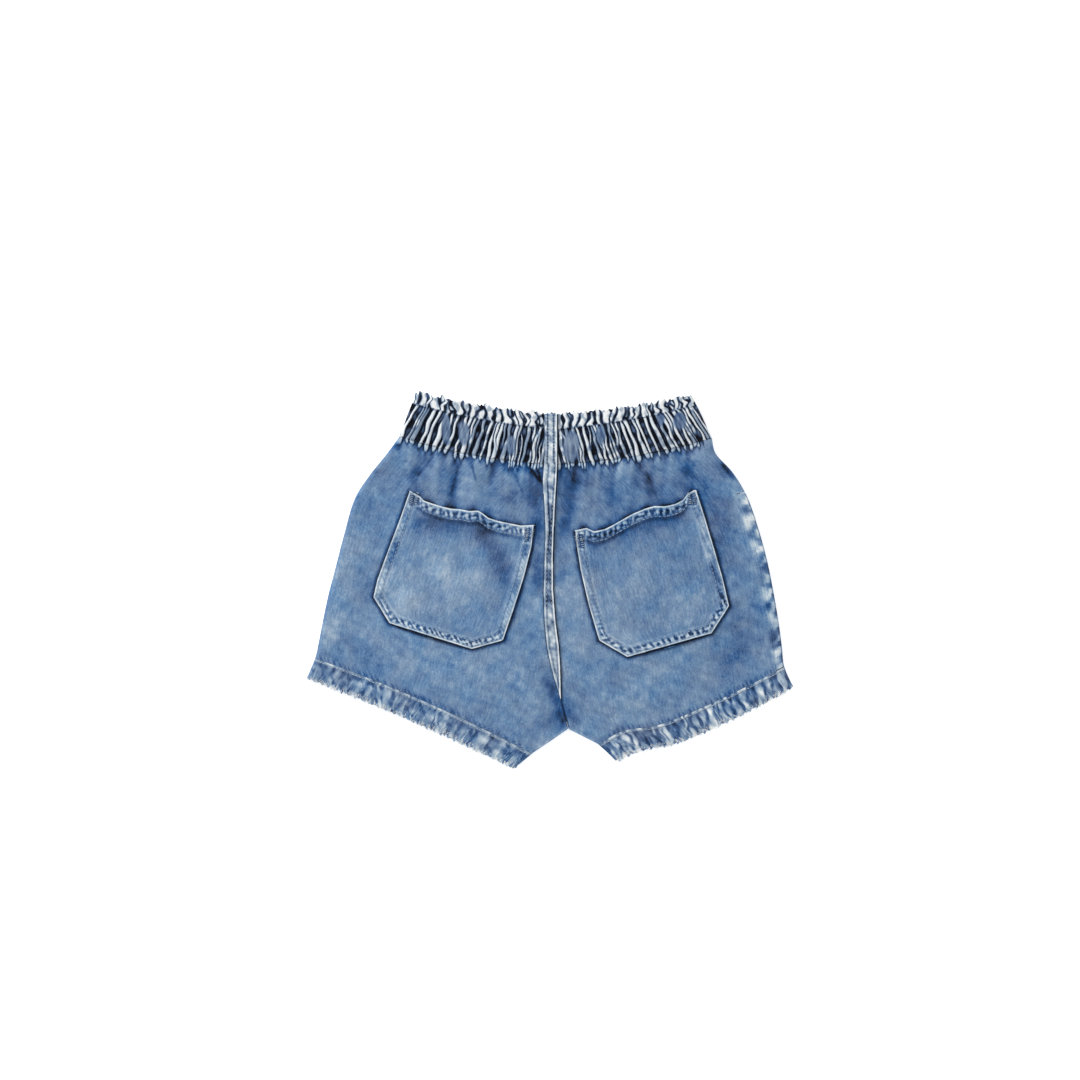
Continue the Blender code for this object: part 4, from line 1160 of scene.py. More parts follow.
def pocket_place(leg, down, across):
    """Flat place on a pocket: down is 0 at the mouth and 1 at the bottom."""
    table = POCKETS[leg]
    where = down * (len(table) - 1)
    left_x, left_y, right_x, right_y, bow = (
        straight(column(table, name), where)
        for name in ("left_x", "left_y", "right_x", "right_y", "bow"))
    x = mix(left_x, right_x, across)
    y = mix(left_y, right_y, across) + arch(across, bow)
    mouth = table[0]
    plain = mix(mouth.left_y, mouth.right_y, across) + arch(across, mouth.bow)
    mouth_x = mix(mouth.left_x, mouth.right_x, across)
    fade = ease(1.0 - down * pocket_depth(leg) / POCKET_MOUTH_FADE)
    return x, y + (mouth_line(leg, mouth_x) - plain) * fade


def pocket_depth(leg):
    table = POCKETS[leg]
    return table[0].left_y - table[-1].left_y


def pocket_parts(leg, x, y):
    """Distance from the sewn edge and distance below the mouth."""
    edge = line_distance(x, y, pocket_outline(leg))
    below = np.maximum(mouth_line(leg, x) - y, 0.0) * 0.96
    return edge, below


def pocket_top(leg, x, y):
    """Height of a pocket's outer face."""
    edge, below = pocket_parts(leg, x, y)
    bed = back_height(leg, x, y) + LAY_GAP
    rim = 0.45 * (1.0 - ease((edge - POCKET_RIM) / 2.0)) + 0.22 * bump(edge - 1.6, 0.8)
    rim = rim * ease(edge / 1.0)
    pucker = POCKET_PUCKERS[leg](x + 0.6 * y) * 0.16 * bump(edge - 5.0, 3.4)
    hem = 0.55 * (1.0 - ease((below - POCKET_HEM) / 1.4))
    hem = hem + 0.20 * bump(below - 1.0, 1.0)
    hem = hem + 0.20 * MOUTH_PUCKERS[leg](x) * bump(below - 4.6, 3.6)
    gape = 1.1 * bump(below, 9.0) * ease((edge - 6.0) / 18.0)
    drape = 0.18 * SMALL_WRINKLES(x * 0.7 + 40.0, y * 0.7)
    groove = -0.22 * bump(edge - 7.6, 0.8) - 0.22 * bump(below - 8.4, 0.8)
    edge_drop = -0.75 * WALL * (1.0 - ease(edge / 1.0))
    return bed + WALL + rim + pucker + hem + gape + drape + groove + edge_drop


def pocket_tone(leg, x, y):
    edge, below = pocket_parts(leg, x, y)
    shades = soft_sum(x, y, POCKET_SHADES[leg])
    tone = POCKET_TONE[leg] + shades * (1.0 + 0.2 * WRINKLES(x, y))
    table = POCKETS[leg]
    low = ease((table[3].left_y - 12.0 - y + 0.25 * (x - table[3].left_x) * OUTWARD[leg]) / 14.0)
    puckers = POCKET_PUCKERS[leg](x + 0.6 * y) + 0.9 * SCRIBBLES(x, y)
    band = bump(edge - 4.8, 2.8)
    tone = tone + band * (0.03 + (0.09 + 0.26 * low) * np.tanh(1.7 * puckers))
    # Painted shade in the groove along the inner stitch row, paler beyond it
    tone = tone - 0.12 * bump(edge - 7.4, 0.9) + 0.10 * bump(edge - 9.0, 1.2)
    mouth = 1.0 - ease((below - 7.0) / 2.0)
    stripes = np.tanh(1.4 * (MOUTH_PUCKERS[leg](x) + 0.9 * SCRIBBLES(x, y)))
    tone = tone + mouth * (0.01 + 0.34 * stripes * bump(below - 4.6, 3.0))
    # Painted shade just below the mouth's hem
    tone = tone - 0.18 * bump(below - 10.4, 1.8) * ease((edge - 3.0) / 4.0)
    corner_gap = np.minimum(*(np.maximum(np.abs(x - px) / 4.6, np.abs(y - py) / 6.4)
                              for px, py in pocket_corners(leg)))
    inside = (edge > 2.2) * (below > 1.6)
    tone = mix(tone, 0.16, 0.8 * ease((1.0 - corner_gap) / 0.25) * inside)
    tone = tone + 0.26 * bump(corner_gap - 1.08, 0.12) * inside
    rim = np.maximum(bump(edge - 1.55, 0.55), bump(below - 0.6, 0.65))
    tone = mix(tone, 0.86 + 0.05 * PATCHES(x, y), np.clip(1.1 * rim, 0.0, 1.0))
    # The outermost ring is painted shadow on the turned-under edge, whose cloth is also unfaded
    return np.where((edge < 0.95) & (below > 0.4), OUTLINE_TONE, tone)


def pocket_corners(leg):
    """Middles of the bar-tacked corners of a pocket's mouth."""
    mouth = POCKETS[leg][0]
    slant = -0.9 * OUTWARD[leg]
    return [(mouth.left_x + TACK_SIDE, mouth.left_y - TACK_DROP + slant),
            (mouth.right_x - TACK_SIDE, mouth.right_y - TACK_DROP - slant)]


def edge_lines(length, step):
    """Shares of a length, crowded towards both ends."""
    border = np.array([0, 0.45, 0.9, 1.3, 1.7, 2.1, 2.6, 3.3, 4.2, 5.2, 6.2, 7, 7.7, 8.5, 9.6])
    last = length - border[-1]
    middle = np.linspace(border[-1], last, max(int((last - border[-1]) / step), 2) + 1)[1:-1]
    return np.concatenate([border, middle, length - border[::-1]]) / length


def make_pocket(leg):
    table = POCKETS[leg]
    depth = pocket_depth(leg)
    width = math.hypot(table[2].right_x - table[2].left_x, table[2].right_y - table[2].left_y)
    down = np.unique(np.concatenate([edge_lines(depth, POCKET_STEP), [0.8]]))
    across, down = np.meshgrid(edge_lines(width, POCKET_STEP), down)
    x, y = pocket_place(leg, down, across)
    top = pocket_top(leg, x, y)
    outer = np.stack([x, y, top], -1)
    bed = back_height(leg, x, y) + LAY_GAP * 0.7
    inner = np.stack([x, y, np.minimum(np.maximum(bed, top - 1.7), top - 0.25)], -1)
    uv = np.stack([across * width, down * depth], -1)
    return shell(f"back_pocket_{leg}", outer, inner, uv, pocket_tone(leg, x, y), sharp=60.0)


# ---------------------------------------------------------------- materials

def linear(red, green, blue):
    """Scene-linear colour of an sRGB one given as 0 to 255."""
    def one(value):
        share = value / 255.0
        return share / 12.92 if share <= 0.04045 else ((share + 0.055) / 1.055) ** 2.4
    return (one(red), one(green), one(blue))


def node(tree, kind, place, sockets=None, **facts):
    """Node with some facts set. Each socket gets its own value or a link to an output."""
    made = tree.nodes.new(kind)
    made.location = (place[0] * NODE_WIDTH, place[1] * NODE_HEIGHT)
    for name, value in facts.items():
        setattr(made, name, value)
    feed(tree, made, sockets or {})
    return made


def feed(tree, receiver, sockets):
    for name, value in sockets.items():
        if isinstance(value, bpy.types.NodeSocket):
            tree.links.new(value, receiver.inputs[name])
        else:
            receiver.inputs[name].default_value = value


def maths(tree, operation, place, *values):
    """Math node whose inputs are numbers or sockets."""
    made = node(tree, "ShaderNodeMath", place, dict(enumerate(values)), operation=operation)
    return made.outputs[0]


def grain_noise(tree, vector, scale, detail, roughness, place):
    """Noise of a size given by three scales."""
    stretch = node(tree, "ShaderNodeMapping", (place[0] - 1, place[1]),
                   {"Scale": scale, "Vector": vector})
    made = node(tree, "ShaderNodeTexNoise", place,
                {"Scale": 1.0, "Detail": detail, "Roughness": roughness,
                 "Vector": stretch.outputs[0]})
    return made.outputs[0]


def new_material(name):
    material = bpy.data.materials.new(name)
    material.use_nodes = True
    return material, material.node_tree, material.node_tree.nodes["Principled BSDF"]


NODE_WIDTH = 190.0
NODE_HEIGHT = 170.0
DENIM_COLOURS = ("Deep", "Dark", "Middle", "Pale", "White")
DENIM_STOPS = (0.02, 0.28, 0.50, 0.74, 0.97)
DENIM_AMOUNTS = ("Cloud", "Mottle", "Streak", "Speck", "Twill")
DENIM_SOCKETS = (
    ("INPUT", "Float", ("Tone",)),
    ("INPUT", "Vector", ("Cloth", "Place")),
    ("INPUT", "Color", DENIM_COLOURS),
    ("INPUT", "Float", DENIM_AMOUNTS),
    ("OUTPUT", "Color", ("Color",)),
    ("OUTPUT", "Float", ("Height", "Roughness")),
)
GREYING = 0.35


def washed_denim_group():
    """Shader group: washed indigo twill from a tone, with clouds, streaks, specks and weave."""
    tree = bpy.data.node_groups.new("Washed denim", "ShaderNodeTree")
    for way, kind, names in DENIM_SOCKETS:
        for name in names:
            tree.interface.new_socket(name, in_out=way, socket_type=f"NodeSocket{kind}")
    given = node(tree, "NodeGroupInput", (-6, 0)).outputs
    cloth = given["Cloth"]
    place = given["Place"]
    cloud = grain_noise(tree, place, (26.0, 30.0, 26.0), 3.0, 0.55, (-3, 4))
    mottle = grain_noise(tree, place, (120.0, 105.0, 120.0), 4.0, 0.62, (-3, 3))
    streak = grain_noise(tree, cloth, (620.0, 105.0, 1.0), 2.0, 0.6, (-3, 2))
    speck = grain_noise(tree, cloth, (1050.0, 520.0, 1.0), 2.0, 0.7, (-3, 1))
    lean = node(tree, "ShaderNodeMapping", (-4, 0),
                {"Scale": (1000.0, 620.0, 1.0), "Vector": cloth})
    weave = node(tree, "ShaderNodeTexWave", (-3, 0),
                 {"Scale": 0.70, "Distortion": 1.6, "Detail": 1.0, "Detail Scale": 0.7,
                  "Vector": lean.outputs[0]}, bands_direction="DIAGONAL").outputs["Fac"]
    tone = given["Tone"]
    sources = (cloud, mottle, streak, speck, weave)
    for step, (name, source) in enumerate(zip(DENIM_AMOUNTS, sources)):
        centred = maths(tree, "SUBTRACT", (-2, 4 - step), source, 0.5)
        tone = maths(tree, "MULTIPLY_ADD", (-1, 4 - step), centred, given[name], tone)
    colour = given["Deep"]
    for step in range(1, len(DENIM_COLOURS)):
        span = node(tree, "ShaderNodeMapRange", (step, 2),
                    {"From Min": DENIM_STOPS[step - 1], "From Max": DENIM_STOPS[step],
                     "Value": tone})
        blend = node(tree, "ShaderNodeMix", (step, 0), data_type="RGBA")
        feed(tree, blend, {0: span.outputs[0], 6: colour, 7: given[DENIM_COLOURS[step]]})
        colour = blend.outputs[2]
    greyer = grain_noise(tree, place, (42.0, 48.0, 42.0), 3.0, 0.6, (4, 4))
    greyer = maths(tree, "MULTIPLY_ADD", (5, 4), greyer, -2.0 * GREYING, 1.0 + GREYING)
    fade = node(tree, "ShaderNodeHueSaturation", (6, 1), {"Saturation": greyer, "Color": colour})
    twill = maths(tree, "MULTIPLY", (2, -2), weave, 0.35)
    height = maths(tree, "MULTIPLY_ADD", (3, -2), streak, 0.5, twill)
    height = maths(tree, "MULTIPLY_ADD", (4, -2), speck, 0.35, height)
    rough = maths(tree, "MULTIPLY_ADD", (4, -3), mottle, 0.22, 0.72)
    node(tree, "NodeGroupOutput", (7, 0),
         {"Color": fade.outputs[0], "Height": height, "Roughness": rough})
    return tree


Finish = namedtuple("Finish", "name grey cloud mottle streak speck twill bump sheen")
FINISHES = table_of(Finish, [
    ("body_denim", 0, 0.14, 0.32, 0.26, 0.34, 0.06, 0.45, 0.08),
    ("pocket_denim", 0.02, 0.12, 0.30, 0.32, 0.34, 0.07, 0.45, 0.08),
    ("waistband_denim", 0.30, 0.06, 0.22, 0.24, 0.22, 0.04, 0.40, 0.04),
    ("hem_denim", 0.12, 0.12, 0.36, 0.36, 0.34, 0.06, 0.45, 0.06),
    ("seam_denim", 0.25, 0.08, 0.34, 0.34, 0.36, 0.06, 0.45, 0.06),
])


def greyed(colour, amount):
    level = 0.2126 * colour[0] + 0.7152 * colour[1] + 0.0722 * colour[2]
    return tuple(mix(value, level, amount) for value in colour[:3]) + (1.0,)


def denim_material(finish, group, colours):
    material, tree, surface = new_material(finish.name)
    cloth = node(tree, "ShaderNodeUVMap", (-5, 1), uv_map="cloth")
    place = node(tree, "ShaderNodeTexCoord", (-5, 0))
    tone = node(tree, "ShaderNodeAttribute", (-5, 2), attribute_name="tone")
    weave = node(tree, "ShaderNodeGroup", (-3, 1), node_tree=group)
    feed(tree, weave, {"Tone": tone.outputs["Fac"], "Cloth": cloth.outputs[0],
                       "Place": place.outputs["Object"]})
    feed(tree, weave, {name: greyed(colour, finish.grey)
                       for name, colour in zip(DENIM_COLOURS, colours)})
    feed(tree, weave, {name: getattr(finish, name.lower()) for name in DENIM_AMOUNTS})
    raised = node(tree, "ShaderNodeBump", (-1, -1),
                  {"Strength": finish.bump, "Distance": 0.0004, "Height": weave.outputs["Height"]})
    feed(tree, surface, {
        "Base Color": weave.outputs["Color"], "Roughness": weave.outputs["Roughness"],
        "Normal": raised.outputs["Normal"], "Specular IOR Level": 0.12,
        "Sheen Weight": finish.sheen, "Sheen Roughness": 0.55})
    return material


def thread_material(name, colour, spread):
    """Twisted cotton: a pale colour that varies along the rows."""
    material, tree, surface = new_material(name)
    place = node(tree, "ShaderNodeTexCoord", (-5, 0))
    noise = grain_noise(tree, place.outputs["Object"], (420.0, 420.0, 420.0), 2.0, 0.6, (-3, 0))
    ramp = node(tree, "ShaderNodeValToRGB", (-2, 0), {0: noise})
    for stop, position, share in zip(ramp.color_ramp.elements, (0.32, 0.66), (spread, 1.0)):
        stop.position = position
        stop.color = tuple(value * share for value in colour[:3]) + (1.0,)
    raised = node(tree, "ShaderNodeBump", (-1, -1),
                  {"Strength": 0.5, "Distance": 0.0002, "Height": noise})
    feed(tree, surface, {"Base Color": ramp.outputs[0], "Normal": raised.outputs[0],
                         "Roughness": 0.7})
    return material


def floor_material():
    material, tree, surface = new_material("white_paper")
    place = node(tree, "ShaderNodeTexCoord", (-4, 0))
    noise = grain_noise(tree, place.outputs["Object"], (40.0, 40.0, 40.0), 2.0, 0.5, (-2, 0))
    feed(tree, surface, {
        "Roughness": maths(tree, "MULTIPLY_ADD", (-1, 0), noise, 0.1, 0.85),
        "Base Color": (0.97, 0.97, 0.97, 1.0), "Emission Color": (1.0, 1.0, 1.0, 1.0),
        "Emission Strength": 0.5})
    return material


def finish_named(name):
    """A denim or thread finish, made the first time that a piece asks for it."""
    if name in bpy.data.materials:
        return bpy.data.materials[name]
    colours = bpy.context.scene.shorts_colours
    threads = {"sewing_thread": (colours.thread, 0.55), "dyed_thread": (colours.dyed_thread, 0.5),
               "frayed_cotton": (colours.fray, 0.7)}
    if name in threads:
        return thread_material(name, *threads[name])
    group = bpy.data.node_groups.get("Washed denim") or washed_denim_group()
    chosen = [getattr(colours, colour.lower()) for colour in DENIM_COLOURS]
    for finish in FINISHES:
        if finish.name == name:
            return denim_material(finish, group, chosen)
    raise ValueError(f"no finish is named {name}")


# ---------------------------------------------------------------- stitches and frays

def growing_tree(name, settings, result):
    """Geometry Nodes tree with named settings, and the identifier of each one's socket."""
    tree = bpy.data.node_groups.new(name, "GeometryNodeTree")
    tree.is_modifier = True
    keys = {}
    for label, kind in settings:
        socket = tree.interface.new_socket(label, in_out="INPUT", socket_type=f"NodeSocket{kind}")
        keys[label] = socket.identifier
    tree.interface.new_socket(result, in_out="OUTPUT", socket_type="NodeSocketGeometry")
    return tree, keys, node(tree, "NodeGroupInput", (-5, 0)).outputs


def place_shapes(tree, points, ball, direction, size, thread):
    """End a tree with a stretched ball on each point, as real, smooth meshes of a material."""
    aimed = node(tree, "FunctionNodeAlignRotationToVector", (-2, -1), {"Vector": direction},
                 axis="Z")
    shape = node(tree, "GeometryNodeMeshUVSphere", (-2, 2), ball)
    placed = node(tree, "GeometryNodeInstanceOnPoints", (0, 0),
                  {"Points": points, "Instance": shape.outputs["Mesh"],
                   "Rotation": aimed.outputs[0], "Scale": size})
    real = node(tree, "GeometryNodeRealizeInstances", (1, 0), {0: placed.outputs[0]})
    smooth_shaded = node(tree, "GeometryNodeSetShadeSmooth", (2, 0), {0: real.outputs[0]})
    painted = node(tree, "GeometryNodeSetMaterial", (3, 0),
                   {0: smooth_shaded.outputs[0], "Material": thread})
    node(tree, "NodeGroupOutput", (4, 0), {0: painted.outputs[0]})


def stitch_tree():
    """Geometry Nodes: a row of thread stitches along each line of a mesh."""
    tree, keys, given = growing_tree("Stitch rows", [
        ("Lines", "Geometry"), ("Pitch", "Float"), ("Stitch Length", "Float"),
        ("Thread Width", "Float"), ("Turn", "Float"), ("Seed", "Int"), ("Thread", "Material"),
    ], "Stitches")
    curve = node(tree, "GeometryNodeMeshToCurve", (-4, 1), {"Mesh": given["Lines"]})
    spaced = node(tree, "GeometryNodeResampleCurve", (-3, 1), mode="LENGTH")
    feed(tree, spaced, {"Curve": curve.outputs[0], "Length": given["Pitch"]})
    tangent = node(tree, "GeometryNodeInputTangent", (-4, -1))
    turned = node(tree, "ShaderNodeVectorRotate", (-3, -1),
                  {"Vector": tangent.outputs[0], "Angle": given["Turn"]}, rotation_type="Z_AXIS")
    half_width = maths(tree, "MULTIPLY", (-3, -2), given["Thread Width"], 0.5)
    half_length = maths(tree, "MULTIPLY", (-3, -3), given["Stitch Length"], 0.5)
    size = node(tree, "ShaderNodeCombineXYZ", (-2, -2),
                {0: half_width, 1: half_width, 2: half_length})
    varied = node(tree, "FunctionNodeRandomValue", (-3, -4),
                  {2: 0.82, 3: 1.12, "Seed": given["Seed"]}, data_type="FLOAT")
    scaled = node(tree, "ShaderNodeVectorMath", (-1, -2), operation="SCALE")
    feed(tree, scaled, {0: size.outputs[0], "Scale": varied.outputs[1]})
    place_shapes(tree, spaced.outputs[0], {"Segments": 6, "Rings": 4, "Radius": 1.0},
                 turned.outputs[0], scaled.outputs[0], given["Thread"])
    return tree, keys


def fray_tree():
    """Geometry Nodes: a tapered loose thread on each point, along its own direction."""
    tree, keys, given = growing_tree("Frayed threads", [
        ("Points", "Geometry"), ("Thread Width", "Float"), ("Thread", "Material")], "Threads")
    run = node(tree, "GeometryNodeInputNamedAttribute", (-4, -1), {"Name": "run"},
               data_type="FLOAT_VECTOR").outputs[0]
    reach = node(tree, "ShaderNodeVectorMath", (-3, -2), {0: run}, operation="LENGTH")
    width = given["Thread Width"]
    size = node(tree, "ShaderNodeCombineXYZ", (-2, -2),
                {0: width, 1: width, 2: reach.outputs["Value"]})
    place_shapes(tree, given["Points"], {"Segments": 5, "Rings": 6, "Radius": 0.5},
                 run, size.outputs[0], given["Thread"])
    return tree, keys


def grown(name, data, tree, keys, values):
    """Run a tree on a mesh, keep its result as a plain mesh and drop the tree."""
    seed = bpy.data.objects.new(f"{name}_lines", data)
    bpy.context.scene.collection.objects.link(seed)
    modifier = seed.modifiers.new("Grow", "NODES")
    modifier.node_group = tree
    for label, value in values.items():
        modifier[keys[label]] = value
    depsgraph = bpy.context.evaluated_depsgraph_get()
    result = bpy.data.meshes.new_from_object(seed.evaluated_get(depsgraph))
    seed.modifiers.remove(modifier)
    bpy.data.objects.remove(seed)
    bpy.data.node_groups.remove(tree)
    if not result.polygons:
        raise RuntimeError(f"{name} came out empty")
    result.name = name
    made = bpy.data.objects.new(name, result)
    bpy.context.scene.collection.objects.link(made)
    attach(made, BODY)
    return made


def line_mesh(name, lines):
    """Mesh of open chains of points, in millimetres."""
    points = []
    edges = []
    for line in lines:
        first = len(points)
        points += [tuple(float(value) * MM for value in point) for point in line]
        edges += [(first + step, first + step + 1) for step in range(len(line) - 1)]
    data = bpy.data.meshes.new(name)
    data.from_pydata(points, edges, [])
    return data


def sew(name, lines, pitch, length, width, turn=0.0, seed=7, thread="sewing_thread"):
    """Stitches along lines. Lengths are millimetres."""
    tree, keys = stitch_tree()
    values = {"Pitch": pitch * MM, "Stitch Length": length * MM, "Thread Width": width * MM,
              "Turn": turn, "Seed": seed, "Thread": finish_named(thread)}
    return grown(name, line_mesh(f"{name}_lines", lines), tree, keys, values)


def fray(name, threads, width):
    """Loose threads, each given by its middle and its run, in millimetres."""
    points, runs = (np.array(part) * MM for part in zip(*threads))
    data = bpy.data.meshes.new(f"{name}_points")
    data.from_pydata(points.tolist(), [], [])
    layer = data.attributes.new("run", "FLOAT_VECTOR", "POINT")
    layer.data.foreach_set("vector", runs.astype(np.float32).ravel())
    tree, keys = fray_tree()
    values = {"Thread Width": width * MM, "Thread": finish_named("frayed_cotton")}
    return grown(name, data, tree, keys, values)


def inset_outline(points, distance):
    """Chain of points moved sideways to the inside of a pocket."""
    points = np.asarray(points, float)
    runs = np.diff(points, axis=0)
    runs /= np.linalg.norm(runs, axis=1)[:, None]
    sides = np.stack([-runs[:, 1], runs[:, 0]], -1)
    moved = []
    for number, point in enumerate(points):
        joint = sides[max(number - 1, 0)] + sides[min(number, len(sides) - 1)]
        joint /= max(np.dot(joint, joint) / 2.0, 0.6)
        moved.append(point + joint * distance)
    return np.array(moved)


def along(points, step):
    """The same chain with points at an even step."""
    lengths = np.concatenate([[0.0], np.cumsum(np.linalg.norm(np.diff(points, axis=0), axis=1))])
    places = np.arange(0.0, lengths[-1], step)
    return np.stack([np.interp(places, lengths, points[:, axis]) for axis in (0, 1)], -1)


def on_pocket(leg, xs, ys, lift):
    return np.column_stack([xs, ys, pocket_top(leg, xs, ys) + lift])


def pocket_rows(leg, distance):
    line = along(inset_outline(pocket_outline(leg), distance), 1.0)
    line = line[mouth_line(leg, line[:, 0]) - line[:, 1] > 1.5]
    return on_pocket(leg, line[:, 0], line[:, 1], STITCH_LIFT)


def mouth_row(leg, below):
    points = POCKET_MOUTHS[leg]
    xs = np.arange(points[0][0] + 3.0, points[-1][0] - 3.0, 1.0)
    return on_pocket(leg, xs, mouth_line(leg, xs) - below, STITCH_LIFT)


def bar_tacks(leg):
    """Short dense bars at both corners of a pocket's mouth."""
    bars = []
    for x, y in pocket_corners(leg):
        for shift in (-TACK_SPREAD, TACK_SPREAD):
            ys = np.linspace(y + TACK_HALF, y - TACK_HALF, 8)
            xs = x + shift - np.linspace(0.8, -0.8, 8) * OUTWARD[leg]
            bars.append(on_pocket(leg, xs, ys, 0.10))
    return bars


def band_row(side, leg, row):
    """Stitch line along a quarter of the waistband, kept above the floor."""
    across = np.linspace(*BAND_STITCH_ENDS, 260)
    points, _, _, thick = band_surface(side, leg, across, np.full(len(across), row))
    points[:, 2] = np.maximum(points[:, 2] + np.copysign(STITCH_LIFT, thick), 0.02)
    return points


def hem_row(side, leg):
    """Stitch line along a hem, kept above the floor."""
    across = np.linspace(*HEM_STITCH_ENDS, 240)
    points, _, _ = hem_surface(side, leg, across, np.full(len(across), HEM_STITCH_SHARE))
    points[:, 2] = np.maximum(points[:, 2] + HEM_STITCH_LIFT[side], 0.15)
    return points


def back_seam_rows(high, low):
    """The two stitch lines of the centre-back seam, from a high to a low y."""
    ys = np.arange(high, low, -1.0)
    left, right = back_seam_edges(ys)
    wide_enough = right - left > 7.0
    banded = ease((ys - BAND_FOOT) / 4.0)
    lines = []
    for xs in (left + mix(2.9, 2.7, banded), right - mix(3.1, 3.9, banded)):
        top = seam_bed(xs, ys) + BACK_SEAM_CLEAR + SEAM_WALL + SEAM_RAISE + 0.28
        lines.append(np.column_stack([xs, ys, top])[wide_enough])
    return lines


def front_rows():
    """Two rows along each slash pocket's mouth and two along the front seam."""
    lines = []
    for leg in LEGS:
        for distance in MOUTH_STITCH_INSETS:
            levels = np.linspace(0.05, MOUTH_LEVEL - 0.1, 60)
            outer, _ = tube_grid(leg, levels, mouth_girth(leg, levels) - distance)
            outer[:, 2] = FRONT_THREAD_HEIGHT
            lines.append(outer)
    ys = np.arange(94.0, -84.0, -1.0)
    for side in (-1.0, 1.0):
        xs = panel_join(ys) + side * (front_seam_half(ys) - 1.9)
        lines.append(np.column_stack([xs, ys, np.full(len(ys), 0.20)]))
    return lines


def hem_thread(leg, draw, reach):
    """Middle and run of a loose thread that leaves a hem's lower edge."""
    across = np.array([draw.uniform(0.01, 0.99)])
    share = np.array([draw.uniform(0.74, 0.98)])
    start = hem_surface("back", leg, across, share)[0][0]
    end = hem_surface("back", leg, across, np.array([1.0]))[0][0]
    down = end[:2] - start[:2]
    down = down / max(np.linalg.norm(down), 0.1)
    length = reach * draw.uniform(0.5, 1.3)
    turn = draw.normal(0.0, 0.22)
    run = np.array([down[0] - down[1] * turn, down[1] + down[0] * turn, -0.06]) * length
    start[2] += 0.05
    return start + run * 0.35, run


def ruffle_thread(leg, draw):
    """Middle and run of a loose thread that stands up from the ruffle."""
    across = np.array([draw.uniform(0.03, 0.99)])
    start = band_surface("back", leg, across, np.array([4.85]))[0][0]
    run = np.array([draw.normal(0.0, 0.35), 1.0, 0.1]) * draw.uniform(0.6, 1.6)
    return start, run


# ---------------------------------------------------------------- operators

class SHORTS_OT_back_panels(bpy.types.Operator):
    """Lay the two back panels, with their creases, over the front"""

    bl_idname = "shorts.back_panels"
    bl_label = "Back Panels"

    def execute(self, context):
        for leg in LEGS:
            dress(make_back_panel(leg), f"back_{leg}_panel", "body_denim")
        return {"FINISHED"}


class SHORTS_OT_front_panels(bpy.types.Operator):
    """Lay the two front panels and the hip facings that show beyond the slash pockets"""

    bl_idname = "shorts.front_panels"
    bl_label = "Front Panels"

    def execute(self, context):
        for leg in LEGS:
            dress(make_front_panel(leg), f"front_{leg}_panel", "body_denim")
            dress(make_hip_facing(leg), f"hip_facing_{leg}", "body_denim")
        return {"FINISHED"}


class SHORTS_OT_waistband(bpy.types.Operator):
    """Gather the four quarters of the waistband, with its casing and ruffle"""

    bl_idname = "shorts.waistband"
    bl_label = "Waistband"

    def execute(self, context):
        for side, leg in QUARTERS:
            dress(make_band(side, leg), f"waistband_{side}_{leg}", "waistband_denim")
        return {"FINISHED"}


class SHORTS_OT_hems(bpy.types.Operator):
    """Turn up the puckered hems of both legs"""

    bl_idname = "shorts.hems"
    bl_label = "Hems"

    def execute(self, context):
        for side, leg in QUARTERS:
            dress(make_hem(side, leg), f"hem_{side}_{leg}", "hem_denim")
        return {"FINISHED"}


class SHORTS_OT_pockets(bpy.types.Operator):
    """Lay the two patch pockets on the back"""

    bl_idname = "shorts.pockets"
    bl_label = "Back Pockets"

    def execute(self, context):
        for leg in LEGS:
            dress(make_pocket(leg), f"back_pocket_{leg}", "pocket_denim")
        return {"FINISHED"}


class SHORTS_OT_centre_seams(bpy.types.Operator):
    """Lay the felled seams of the back and the front"""

    bl_idname = "shorts.centre_seams"
    bl_label = "Centre Seams"

    def execute(self, context):
        dress(make_centre_back_seam(), "centre_back_seam", "seam_denim")
        dress(make_centre_front_seam(), "centre_front_seam", "seam_denim")
        return {"FINISHED"}


class SHORTS_OT_stitches(bpy.types.Operator):
    """Sew the rows of stitches and the bar tacks"""

    bl_idname = "shorts.stitches"
    bl_label = "Stitches"

    def execute(self, context):
        sizes = context.scene.shorts_sizes
        pitch = sizes.stitch_pitch / MM
        length = sizes.stitch_length / MM
        width = sizes.thread_width / MM
        lines = []
        for leg in LEGS:
            lines += [pocket_rows(leg, inset) for inset in POCKET_STITCH_INSETS]
            lines.append(mouth_row(leg, MOUTH_STITCH_DROP))
        sew("pocket_stitches", lines, pitch, length, width * 0.8)
        sew("pocket_bar_tacks", bar_tacks(LEFT) + bar_tacks(RIGHT), pitch=1.5, length=2.8,
            width=0.7, turn=math.pi / 2.0)
        lines = [band_row(side, leg, row) for side, leg in QUARTERS for row in BAND_STITCH_ROWS]
        sew("waistband_stitches", lines, pitch, length * 0.8, width * 0.7, thread="dyed_thread")
        lines = [hem_row(side, leg) for side, leg in QUARTERS]
        sew("hem_stitches", lines, pitch=3.0, length=3.1, width=width * 1.25, seed=11)
        sew("seam_stitches", back_seam_rows(BAND_FOOT, -84.0), pitch, length, width * 0.7, seed=13)
        sew("casing_seam_stitches", back_seam_rows(138.0, 98.0), pitch=2.5, length=1.7,
            width=width * 0.9, seed=19, thread="dyed_thread")
        sew("front_stitches", front_rows(), pitch, length, width * 0.8, seed=17)
        return {"FINISHED"}


